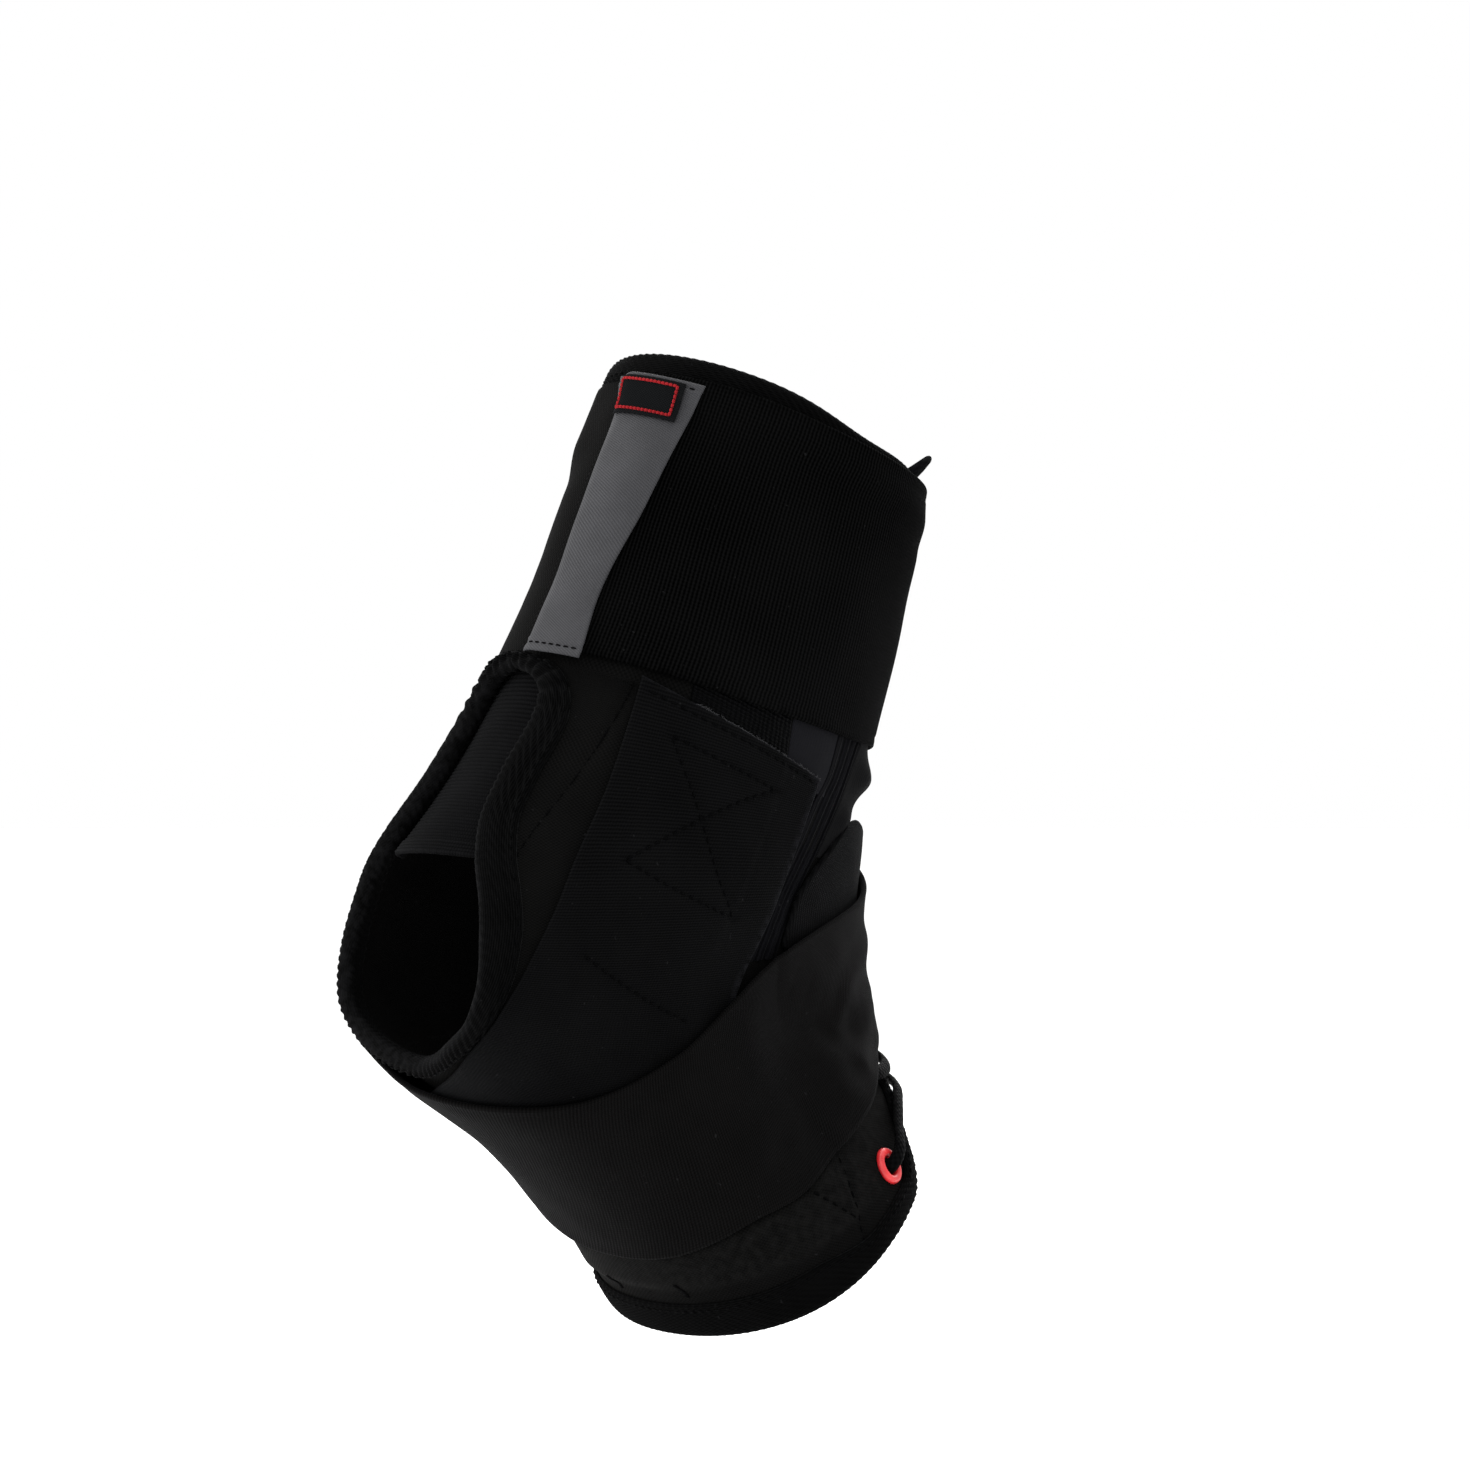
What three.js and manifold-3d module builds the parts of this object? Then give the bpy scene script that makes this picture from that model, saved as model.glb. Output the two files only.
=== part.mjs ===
// A lace-up ankle brace with two crossing straps, in the shape that it has when it is worn.
// Millimetres, +Z up, +X towards the toes, -Y the near side. The origin is the middle of the ankle.
import * as THREE from 'three';
import { mergeVertices } from 'three/addons/utils/BufferGeometryUtils.js';
import Module from 'manifold-3d';

const wasm = await Module();
wasm.setup();

// Thicknesses of the fabrics
const SHELL_WALL = 2.2;
const STRAP_WALL = 1.5;
const CUFF_WALL = 1.6;
const TAPE_WALL = 1.0;
const LABEL_WALL = 1.0;
const PATCH_WALL = 0.8;
const KNIT_WALL = 1.4;
const TONGUE_WALL = 2.4;

// Clearances: under a strap, between the straps where they cross, under any other layer, between a folded tape
// and the edge that it wraps, and under an eyelet's rim
const STRAP_GAP = 0.8;
const CROSSING_GAP = 1.0;
const LAYER_GAP = 0.65;
const TAPE_GAP = 0.7;
const RIM_GAP = 0.35;

// Heights above the form of the first layer on the shell, and of the tapes' outer and inner faces
const ON_SHELL = SHELL_WALL + LAYER_GAP;
const TAPE_OUTSIDE = SHELL_WALL + TAPE_GAP + TAPE_WALL;
const TAPE_INSIDE = -TAPE_GAP - TAPE_WALL;

// The form: sections through the space that the leg and foot fill, from the top rim (station 0) to the
// toe rim (station 9). front and back lie in the middle plane, half is the half width, taper widens the
// back and narrows the front, and square is the exponent of the superellipse (2 is an ellipse).
const SECTIONS = [
  { frontX: 82, frontZ: 83, backX: 8, backZ: 115.5, half: 34, taper: 0.06, square: 2.0 },
  { frontX: 77, frontZ: 47, backX: -9, backZ: 82.5, half: 33, taper: 0.08, square: 2.0 },
  { frontX: 66.5, frontZ: 11.5, backX: -24, backZ: 48.5, half: 35.5, taper: 0.1, square: 2.0 },
  { frontX: 65.5, frontZ: -8, backX: -46.5, backZ: 13, half: 37, taper: 0.16, square: 2.0 },
  { frontX: 65, frontZ: -23, backX: -69, backZ: -15.5, half: 38.5, taper: 0.25, square: 2.0 },
  { frontX: 66.5, frontZ: -35, backX: -78, backZ: -43.5, half: 38.5, taper: 0.3, square: 2.0 },
  { frontX: 67.5, frontZ: -47, backX: -52, backZ: -62.5, half: 35.5, taper: 0.29, square: 2.0 },
  { frontX: 69.5, frontZ: -58.5, backX: -27, backZ: -78, half: 37, taper: 0.3, square: 2.1 },
  { frontX: 75.5, frontZ: -69, backX: -2, backZ: -101, half: 42, taper: 0.34, square: 2.15 },
  { frontX: 81.5, frontZ: -79.5, backX: 18, backZ: -128, half: 45, taper: 0.36, square: 2.1 },
];
const TOE_STATION = SECTIONS.length - 1;

// Edge of the heel opening on one side: station, angle from the back, and the width of its tape outside
const HEEL_EDGE = [
  { station: 2.27, angle: 0, tape: 2.5 },
  { station: 2.31, angle: 10, tape: 3.5 },
  { station: 2.42, angle: 18.5, tape: 6 },
  { station: 2.62, angle: 21.8, tape: 8 },
  { station: 3.0, angle: 21.3, tape: 8.5 },
  { station: 3.36, angle: 23.5, tape: 8.5 },
  { station: 3.72, angle: 29.5, tape: 8.5 },
  { station: 4.04, angle: 35.2, tape: 8.5 },
  { station: 4.38, angle: 39.4, tape: 8.5 },
  { station: 4.72, angle: 41.5, tape: 7 },
  { station: 5.02, angle: 39.6, tape: 6 },
  { station: 5.32, angle: 32.5, tape: 5.5 },
  { station: 5.6, angle: 18.5, tape: 5.5 },
  { station: 5.74, angle: 8, tape: 5.5 },
  { station: 5.78, angle: 0, tape: 5.5 },
];

// Rows of the shell's mesh above and below the heel opening, whose own rows follow its edge
const ROWS_ABOVE_HEEL = [0, 0.45, 0.9, 1.35, 1.8];
const ROWS_BELOW_HEEL = [6.2, 6.7, 7.25, 7.8, 8.3, 8.6, 8.8, 8.93, 9];
const HEEL_STEPS = 18;
const SHELL_COLUMNS = 11;

// Folded tapes: widths of the legs, the lip that is pressed flat, and where the toe tape starts and narrows
const TOP_TAPE = 6;
const TOE_TAPE = { wide: 9, narrow: 5, narrowFrom: 55, narrowTo: 85 };
const TOE_TAPE_STATIONS = [7.5, 7.8, 8.1, 8.35, 8.6, 8.75, 8.86, 8.94];
const INNER_LEG = 5;
const TAPE_LIP = 0.6;

// Front edge of the shell, where the lacing is: the angle at which each side ends, rounded at the toe
const THROAT_EDGE = [
  { station: 0, angle: 140 },
  { station: 2, angle: 141 },
  { station: 6, angle: 142 },
  { station: 7, angle: 138 },
  { station: 8, angle: 130 },
  { station: 8.5, angle: 126 },
  { station: 8.8, angle: 121 },
  { station: 8.93, angle: 116 },
  { station: 9, angle: 110 },
];

// One crossing strap, from its sewn start at the side of the instep, over the front, down the other side,
// under the arch and up to its cut end: angle and station of its heel edge and of its toe edge
const STRAP = [
  { heelAngle: 124, heelStation: 2.8, toeAngle: 118, toeStation: 4.55 },
  { heelAngle: 142, heelStation: 2.68, toeAngle: 146, toeStation: 5.5 },
  { heelAngle: 165, heelStation: 2.85, toeAngle: 184, toeStation: 6.4 },
  { heelAngle: 185, heelStation: 3.25, toeAngle: 208, toeStation: 6.95 },
  { heelAngle: 206, heelStation: 3.75, toeAngle: 224, toeStation: 7.24 },
  { heelAngle: 229, heelStation: 4.2, toeAngle: 249, toeStation: 7.68 },
  { heelAngle: 247, heelStation: 4.7, toeAngle: 271, toeStation: 7.9 },
  { heelAngle: 266, heelStation: 5.52, toeAngle: 290, toeStation: 8.06 },
  { heelAngle: 290, heelStation: 6.06, toeAngle: 312, toeStation: 8.09 },
  { heelAngle: 316, heelStation: 6.32, toeAngle: 344, toeStation: 8.2 },
  { heelAngle: 345, heelStation: 6.32, toeAngle: 374, toeStation: 8.08 },
  { heelAngle: 371, heelStation: 6.12, toeAngle: 402, toeStation: 7.65 },
  { heelAngle: 389, heelStation: 5.74, toeAngle: 428, toeStation: 6.95 },
  { heelAngle: 403, heelStation: 5.24, toeAngle: 449, toeStation: 6.05 },
  { heelAngle: 411, heelStation: 4.72, toeAngle: 466, toeStation: 5.04 },
  { heelAngle: 412.5, heelStation: 3.96, toeAngle: 472, toeStation: 4.08 },
  { heelAngle: 410.5, heelStation: 3.18, toeAngle: 474, toeStation: 3.08 },
  { heelAngle: 408, heelStation: 2.22, toeAngle: 474, toeStation: 2.42 },
];
const STRAP_STEPS = 46;
const STRAP_COLUMNS = 5;

// Elastic cuff, from its sewn end under the label strip, round the near side and the front to the far side
const CUFF = [
  { angle: -14, top: 0.16, bottom: 2.18 },
  { angle: -48, top: 0.11, bottom: 2.16 },
  { angle: -83, top: 0.08, bottom: 2.1 },
  { angle: -119, top: 0.03, bottom: 2.0 },
  { angle: -150, top: 0.0, bottom: 1.92 },
  { angle: -180, top: 0.0, bottom: 1.9 },
  { angle: -210, top: 0.0, bottom: 1.92 },
  { angle: -241, top: 0.03, bottom: 2.0 },
  { angle: -277, top: 0.08, bottom: 2.1 },
  { angle: -318, top: 0.12, bottom: 2.16 },
];

// Label strip over the cuff's sewn end, and the plain patch near its top
const STRIP = [
  { station: 0.13, back: 2, front: -37 },
  { station: 0.45, back: 1, front: -34.5 },
  { station: 1.0, back: 2.5, front: -32.5 },
  { station: 1.7, back: 2.5, front: -27.5 },
  { station: 2.17, back: 1, front: -28.5 },
];
const PATCH = { top: 0.18, bottom: 0.47, back: -4, front: -32 };

// Knit panel behind the tendon: it spans the upper part of the heel opening
const KNIT = { top: 2.1, bottom: 3.7, topAngle: 31, bottomAngle: 38, arch: 0.05 };

// Tongue under the lacing; its middle is crowned, its top stands out over the rim, and its side edges are
// sewn to the shell's inside between two stations
const TONGUE = { top: -0.17, bottom: 8.15, spread: 57, crown: 1.6, crownSpread: 42 };
const TONGUE_FLARE = { rise: 4.5, from: 30, to: 40, below: 0.1 };
const TONGUE_SEAM = { from: 0.9, to: 6.2, fade: 0.6, spread: 40, gap: 0.45 };

// Eyelets on each side: station, angle, and the ring's radii and heights
const EYELETS = [
  { row: 1, station: 8.46, angle: 105 },
  { row: 2, station: 7.34, angle: 112 },
];
const EYELET_HOLE = 3.3;
const EYELET_BARREL = 3.0;
const EYELET_BORE = 2.5;
const EYELET_RIM = 4.8;
const EYELET_RISE = 1.2;
const EYELET_SIDES = 12;

// The lace: half of its route, from the inside bar between the lowest eyelets, out through the first
// eyelet, over the edge, across to the far side's second eyelet from inside, up under the straps, across
// once more above them and on under the cuff. The near half runs over the far half where they cross, so
// each has its own heights.
const [LOW, HIGH] = EYELETS;
const LACE = [
  { station: 8.6, angle: 180, near: -0.9, far: -0.9 },
  { station: 8.6, angle: 148, near: -2.6, far: -2.6 },
  { station: 8.55, angle: 122, near: -3.2, far: -3.2 },
  { station: 8.49, angle: 108, near: -2.4, far: -2.4 },
  { station: LOW.station, angle: LOW.angle, near: 0, far: 0 },
  { station: LOW.station, angle: LOW.angle, near: 3.6, far: 3.6 },
  { station: 8.4, angle: 110, near: 5.6, far: 5.6 },
  { station: 8.2, angle: 121, near: 5.7, far: 5.7 },
  { station: 8.0, angle: 133, near: 5.2, far: 5.2 },
  { station: 7.84, angle: 150, near: 3.2, far: 2.6 },
  { station: 7.64, angle: 180, near: 2.2, far: -0.8 },
  { station: 7.5, angle: 205, near: -0.9, far: -1.9 },
  { station: 7.4, angle: 224, near: -3.2, far: -3.2 },
  { station: 7.34, angle: 243, near: -2.6, far: -2.6 },
  { station: HIGH.station, angle: 360 - HIGH.angle, near: 0, far: 0 },
  { station: HIGH.station, angle: 360 - HIGH.angle, near: 3.6, far: 3.6 },
  { station: 7.34, angle: 243, near: 5.4, far: 5.4 },
  { station: 7.3, angle: 233, near: 4.6, far: 4.6 },
  { station: 7.22, angle: 222, near: 4.2, far: 4.2 },
  { station: 7.06, angle: 208, near: 1.2, far: 1.2 },
  { station: 6.76, angle: 180, near: 1.2, far: -1.6 },
  { station: 6.5, angle: 158, near: 1.0, far: -1.6 },
  { station: 5.4, angle: 151, near: 0.9, far: -1.6 },
  { station: 4.4, angle: 155, near: 0.9, far: -1.6 },
  { station: 3.4, angle: 167, near: 1.0, far: -1.6 },
  { station: 2.6, angle: 180, near: 1.1, far: -1.7 },
  { station: 1.6, angle: 197, near: 0.6, far: -1.7 },
];
const LACE_WIDTH = 2.8;
const LACE_THICKNESS = 2.2;
const LACE_STEPS = 124;
const LACE_SIDES = 6;

// Where the lace lies on the shell under a strap, between the second eyelet and the throat, and how far the
// strap rises over it
const LACE_HUMPS = [
  { station: 7.34, angle: 116, rise: 4.6 },
  { station: 7.31, angle: 122, rise: 4.2 },
  { station: 7.3, angle: 127, rise: 3.7 },
  { station: 7.22, angle: 138, rise: 3.2 },
];
const HUMP = { reach: 4, fade: 9 };

// Colours of the materials
const COLOURS = {
  shell: 0x1b1a1a,
  strap: 0x17171c,
  cuff: 0x15151b,
  tape: 0x131313,
  knit: 0x1c1c20,
  tongue: 0x1a1a1d,
  label: 0x56565a,
  patch: 0x1a1b1d,
  eyelet: 0xc8282d,
  lace: 0x101012,
};

// Value at a fractional place along a list, by a Catmull-Rom spline that runs on straight past both ends
function splineAt(list, place) {
  const end = list.length - 1;
  const start = Math.min(Math.max(Math.floor(place), 0), end - 1);
  const pick = (i) => {
    if (i < 0) return 2 * list[0] - list[1];
    if (i > end) return 2 * list[end] - list[end - 1];
    return list[i];
  };
  const [a, b, c, d] = [start - 1, start, start + 1, start + 2].map(pick);
  const t = place - start;
  return b + 0.5 * t * (c - a + t * (2 * a - 5 * b + 4 * c - d + t * (3 * (b - c) + d - a)));
}

// One named column of a table, by spline at a fractional row
function columnAt(table, column, place) {
  return splineAt(table.map((row) => row[column]), place);
}

// One named column of a table, straight between rows, looked up by the value of another column
function lookUp(table, key, value, column) {
  const rising = table[1][key] > table[0][key] ? 1 : -1;
  let i = 0;
  while (i < table.length - 2 && (value - table[i + 1][key]) * rising > 0) i += 1;
  const share = (value - table[i][key]) / (table[i + 1][key] - table[i][key]);
  return THREE.MathUtils.lerp(table[i][column], table[i + 1][column], THREE.MathUtils.clamp(share, 0, 1));
}

const SECTION_LISTS = Object.fromEntries(
  Object.keys(SECTIONS[0]).map((column) => [column, SECTIONS.map((row) => row[column])]),
);

// Point of the form at a station and an angle, which is 0 at the back and sole, 180 at the front, and minus
// on the near side
function formPoint(station, angle) {
  const at = (column) => splineAt(SECTION_LISTS[column], station);
  const turn = angle * THREE.MathUtils.DEG2RAD;
  const [cosine, sine] = [Math.cos(turn), Math.sin(turn)];
  const power = 2 / at('square');
  const along = Math.sign(cosine) * Math.abs(cosine) ** power;
  const side = Math.sign(sine) * Math.abs(sine) ** power * (1 + at('taper') * cosine);
  const mix = (front, back) => (at(front) + at(back) - along * (at(front) - at(back))) / 2;
  return new THREE.Vector3(mix('frontX', 'backX'), side * at('half'), mix('frontZ', 'backZ'));
}

// Directions on the form: along rising stations, along rising angles, and outwards
function formFrame(station, angle) {
  const [ds, da] = [0.002, 0.1];
  const slope = (after, before, step) => after.sub(before).divideScalar(2 * step);
  const alongStation = slope(formPoint(station + ds, angle), formPoint(station - ds, angle), ds);
  const alongAngle = slope(formPoint(station, angle + da), formPoint(station, angle - da), da);
  const outwards = new THREE.Vector3().crossVectors(alongAngle, alongStation).normalize();
  return { alongStation, alongAngle, outwards };
}

// Point at a height above the form
function skin(station, angle, height) {
  return formPoint(station, angle).addScaledVector(formFrame(station, angle).outwards, height);
}

// Closed solid from a list of triangle corners, turned so that its faces point out
function closedGeometry(corners) {
  const geometry = mergeVertices(new THREE.BufferGeometry().setFromPoints(corners), 1e-4);
  const place = geometry.getAttribute('position');
  const index = Array.from(geometry.getIndex().array);
  const corner = (i) => new THREE.Vector3().fromBufferAttribute(place, index[i]);
  let volume = 0;
  const kept = [];
  for (let i = 0; i < index.length; i += 3) {
    const [a, b, c] = [index[i], index[i + 1], index[i + 2]];
    if (a === b || b === c || c === a) continue;
    volume += corner(i).dot(corner(i + 1).cross(corner(i + 2)));
    kept.push(a, b, c);
  }
  if (volume < 0) kept.reverse();
  geometry.setIndex(kept);
  geometry.computeVertexNormals();
  return geometry;
}

// Wall on a grid: point(row, column, face) gives its inner skin (face 0) and its outer skin (face 1)
function wall(rows, columns, point) {
  const corners = [];
  const quad = (a, b, c, d) => corners.push(a, b, c, a, c, d);
  for (let r = 0; r < rows; r += 1) {
    for (let c = 0; c < columns; c += 1) {
      quad(point(r, c, 1), point(r, c + 1, 1), point(r + 1, c + 1, 1), point(r + 1, c, 1));
      quad(point(r, c, 0), point(r + 1, c, 0), point(r + 1, c + 1, 0), point(r, c + 1, 0));
    }
  }
  for (let r = 0; r < rows; r += 1) {
    quad(point(r, 0, 0), point(r, 0, 1), point(r + 1, 0, 1), point(r + 1, 0, 0));
    quad(point(r, columns, 1), point(r, columns, 0), point(r + 1, columns, 0), point(r + 1, columns, 1));
  }
  for (let c = 0; c < columns; c += 1) {
    quad(point(0, c, 1), point(0, c, 0), point(0, c + 1, 0), point(0, c + 1, 1));
    quad(point(rows, c, 0), point(rows, c, 1), point(rows, c + 1, 1), point(rows, c + 1, 0));
  }
  return closedGeometry(corners);
}

// Triangles that close the end of a folded tape, as corners of its profile
const TAPE_CAP = [[0, 1, 9], [1, 2, 9], [2, 3, 9], [3, 4, 9], [4, 8, 9], [4, 5, 8], [5, 6, 8], [6, 7, 8]];

// Tape folded round an edge of the shell. route lists the edge's station, angle and outer tape width,
// and turn is 1 or -1, the side of the route on which the shell lies.
function foldedTape(route, turn, closed) {
  const outside = SHELL_WALL + TAPE_GAP;
  const nose = -TAPE_GAP - TAPE_WALL;
  const rings = route.map(({ station, angle, tape }, i) => {
    const count = route.length;
    const before = closed ? route[(i + count - 1) % count] : route[Math.max(i - 1, 0)];
    const after = closed ? route[(i + 1) % count] : route[Math.min(i + 1, count - 1)];
    const [start, end] = [before, after].map((row) => formPoint(row.station, row.angle));
    const tangent = end.sub(start).normalize();
    const { alongStation, alongAngle, outwards } = formFrame(station, angle);
    const inwards = new THREE.Vector3().crossVectors(outwards, tangent).multiplyScalar(turn);
    const [a, b, c] = [alongStation.lengthSq(), alongStation.dot(alongAngle), alongAngle.lengthSq()];
    const [d, e] = [inwards.dot(alongStation), inwards.dot(alongAngle)];
    const stationStep = (d * c - e * b) / (a * c - b * b);
    const angleStep = (e * a - d * b) / (a * c - b * b);
    const profile = [
      [tape, outside], [tape - TAPE_LIP, TAPE_OUTSIDE], [TAPE_LIP, TAPE_OUTSIDE],
      [nose, SHELL_WALL * 0.7], [nose, SHELL_WALL * 0.3],
      [TAPE_LIP, TAPE_INSIDE], [INNER_LEG, TAPE_INSIDE], [INNER_LEG, -TAPE_GAP],
      [-TAPE_GAP, -TAPE_GAP], [-TAPE_GAP, outside],
    ];
    return profile.map(([depth, height]) => (
      skin(station + stationStep * depth, angle + angleStep * depth, height)
    ));
  });
  const corners = [];
  const spans = closed ? rings.length : rings.length - 1;
  for (let i = 0; i < spans; i += 1) {
    const [here, next] = [rings[i], rings[(i + 1) % rings.length]];
    here.forEach((point, j) => {
      const k = (j + 1) % here.length;
      corners.push(point, next[j], next[k], point, next[k], here[k]);
    });
  }
  if (!closed) {
    for (const face of TAPE_CAP) {
      corners.push(...face.map((k) => rings[0][k]));
      corners.push(...face.map((k) => rings.at(-1)[k]).reverse());
    }
  }
  return closedGeometry(corners);
}

// Geometry with only its places, and its shared corners merged
function welded(geometry) {
  const plain = geometry.clone();
  plain.deleteAttribute('normal');
  plain.deleteAttribute('uv');
  return mergeVertices(plain, 1e-4);
}

// Solid of a closed mesh for cutting, and back again
function solidOf(geometry) {
  const merged = welded(geometry);
  return new wasm.Manifold(new wasm.Mesh({
    numProp: 3,
    vertProperties: merged.getAttribute('position').array,
    triVerts: Uint32Array.from(merged.getIndex().array),
  }));
}

function geometryOf(solid) {
  const mesh = solid.getMesh();
  const geometry = new THREE.BufferGeometry();
  geometry.setAttribute('position', new THREE.BufferAttribute(Float32Array.from(mesh.vertProperties), 3));
  geometry.setIndex(Array.from(mesh.triVerts));
  geometry.computeVertexNormals();
  return geometry;
}

// Turns a solid made along +Y so that it stands on the form at an eyelet
function standAt(geometry, station, angle) {
  const turn = new THREE.Quaternion().setFromUnitVectors(
    new THREE.Vector3(0, 1, 0),
    formFrame(station, angle).outwards,
  );
  const foot = formPoint(station, angle);
  return geometry.applyQuaternion(turn).translate(foot.x, foot.y, foot.z);
}

// Each eyelet on both sides, with its name
const eyeletPlaces = EYELETS.flatMap(({ row, station, angle }) => [
  { name: `eyelet_near_${row}`, station, angle: -angle },
  { name: `eyelet_far_${row}`, station, angle },
]);

// A place along the far side of the heel opening's edge, from its top to its bottom
function heelPlace(step) {
  const place = (step / HEEL_STEPS) * (HEEL_EDGE.length - 1);
  const atBack = step === 0 || step === HEEL_STEPS;
  return {
    station: columnAt(HEEL_EDGE, 'station', place),
    angle: atBack ? 0 : columnAt(HEEL_EDGE, 'angle', place),
    tape: columnAt(HEEL_EDGE, 'tape', place),
  };
}

// Shell: two sides that meet at the back above and below the heel opening, and end at the throat
function shellGeometry() {
  const columns = SHELL_COLUMNS;
  const rows = [];
  for (const station of ROWS_ABOVE_HEEL) rows.push({ station, hole: 0 });
  for (let i = 0; i <= HEEL_STEPS; i += 1) {
    const { station, angle } = heelPlace(i);
    rows.push({ station, hole: angle });
  }
  for (const station of ROWS_BELOW_HEEL) rows.push({ station, hole: 0 });
  const vertex = (row, column, side, face) => {
    const { station, hole } = rows[row];
    const throat = lookUp(THROAT_EDGE, 'station', station, 'angle');
    return skin(station, side * THREE.MathUtils.lerp(hole, throat, column / columns), face * SHELL_WALL);
  };
  const corners = [];
  for (const side of [-1, 1]) {
    const quad = (a, b, c, d) => corners.push(...(side < 0 ? [a, b, c, a, c, d] : [a, c, b, a, d, c]));
    const at = (r, c, face) => vertex(r, c, side, face);
    for (let r = 0; r < rows.length - 1; r += 1) {
      for (let c = 0; c < columns; c += 1) {
        quad(at(r, c, 1), at(r, c + 1, 1), at(r + 1, c + 1, 1), at(r + 1, c, 1));
        quad(at(r, c, 0), at(r + 1, c, 0), at(r + 1, c + 1, 0), at(r, c + 1, 0));
      }
      quad(at(r, columns, 1), at(r, columns, 0), at(r + 1, columns, 0), at(r + 1, columns, 1));
      if (rows[r].hole > 0 || rows[r + 1].hole > 0) {
        quad(at(r, 0, 0), at(r, 0, 1), at(r + 1, 0, 1), at(r + 1, 0, 0));
      }
    }
    const end = rows.length - 1;
    for (let c = 0; c < columns; c += 1) {
      quad(at(0, c, 1), at(0, c, 0), at(0, c + 1, 0), at(0, c + 1, 1));
      quad(at(end, c, 0), at(end, c, 1), at(end, c + 1, 1), at(end, c + 1, 0));
    }
  }
  const drillLength = 12;
  return geometryOf(eyeletPlaces.reduce((solid, { station, angle }) => {
    const bit = new THREE.CylinderGeometry(EYELET_HOLE, EYELET_HOLE, drillLength, EYELET_SIDES);
    return solid.subtract(solidOf(standAt(bit, station, angle)));
  }, solidOf(closedGeometry(corners))));
}

// Routes of the three tapes, with the tape's outer width at each point
function topRoute() {
  const steps = 30;
  const reach = THROAT_EDGE[0].angle - 1.5;
  return Array.from({ length: steps + 1 }, (_, i) => (
    { station: 0, angle: THREE.MathUtils.lerp(-reach, reach, i / steps), tape: TOP_TAPE }
  ));
}

function heelRoute() {
  const down = Array.from({ length: HEEL_STEPS }, (_, i) => heelPlace(i));
  const up = Array.from({ length: HEEL_STEPS }, (_, i) => heelPlace(HEEL_STEPS - i));
  return [...down.map((row) => ({ ...row, angle: -row.angle })), ...up];
}

function toeRoute() {
  const corner = THROAT_EDGE.at(-1).angle;
  const { wide, narrow, narrowFrom, narrowTo } = TOE_TAPE;
  const near = TOE_TAPE_STATIONS.map((station) => (
    { station, angle: -lookUp(THROAT_EDGE, 'station', station, 'angle'), tape: narrow }
  ));
  const steps = 22;
  const rim = Array.from({ length: steps + 1 }, (_, i) => {
    const angle = THREE.MathUtils.lerp(-corner, corner, i / steps);
    const share = THREE.MathUtils.smoothstep(Math.abs(angle), narrowFrom, narrowTo);
    return { station: TOE_STATION, angle, tape: THREE.MathUtils.lerp(wide, narrow, share) };
  });
  const far = near.map((row) => ({ ...row, angle: -row.angle })).reverse();
  return [...near, ...rim, ...far];
}

// Height of the first layer over the shell: raised near the top rim, where the tape's outer leg lies under it
function overTape(station) {
  const reach = { full: 0.22, none: 0.45 };
  const share = 1 - THREE.MathUtils.smoothstep(station, reach.full, reach.none);
  return ON_SHELL + (TAPE_OUTSIDE + LAYER_GAP - ON_SHELL) * share;
}

function cuffGeometry() {
  const [steps, columns] = [30, 4];
  return wall(steps, columns, (r, c, face) => {
    const place = (r / steps) * (CUFF.length - 1);
    const angle = columnAt(CUFF, 'angle', place);
    const [top, bottom] = [columnAt(CUFF, 'top', place), columnAt(CUFF, 'bottom', place)];
    const share = c / columns;
    const station = THREE.MathUtils.lerp(top, bottom, share * (1 + share) / 2);
    return skin(station, angle, overTape(station) + face * CUFF_WALL);
  });
}

// Height of the label strip: it steps up from the shell on to the cuff's sewn end
function overCuffEnd(station, angle) {
  const onCuff = THREE.MathUtils.smoothstep(-angle, 2, -CUFF[0].angle - 3);
  return overTape(station) + onCuff * (CUFF_WALL + LAYER_GAP);
}

function stripGeometry() {
  const [steps, columns] = [7, 6];
  return wall(steps, columns, (r, c, face) => {
    const place = (r / steps) * (STRIP.length - 1);
    const station = columnAt(STRIP, 'station', place);
    const [back, front] = [columnAt(STRIP, 'back', place), columnAt(STRIP, 'front', place)];
    const angle = THREE.MathUtils.lerp(back, front, c / columns);
    return skin(station, angle, overCuffEnd(station, angle) + face * LABEL_WALL);
  });
}

function patchGeometry() {
  const [steps, columns] = [3, 5];
  return wall(steps, columns, (r, c, face) => {
    const station = THREE.MathUtils.lerp(PATCH.top, PATCH.bottom, r / steps);
    const angle = THREE.MathUtils.lerp(PATCH.back, PATCH.front, c / columns);
    const seat = overCuffEnd(station, angle) + LABEL_WALL + LAYER_GAP;
    return skin(station, angle, seat + face * PATCH_WALL);
  });
}

function knitGeometry() {
  const [steps, columns] = [8, 8];
  const outer = TAPE_INSIDE - TAPE_GAP;
  return wall(steps, columns, (r, c, face) => {
    const across = (2 * c) / columns - 1;
    const bottom = KNIT.bottom - KNIT.arch * (1 - across * across);
    const station = THREE.MathUtils.lerp(KNIT.top, bottom, r / steps);
    const spread = THREE.MathUtils.lerp(KNIT.topAngle, KNIT.bottomAngle, r / steps);
    return skin(station, across * spread, outer - (1 - face) * KNIT_WALL);
  });
}

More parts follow.
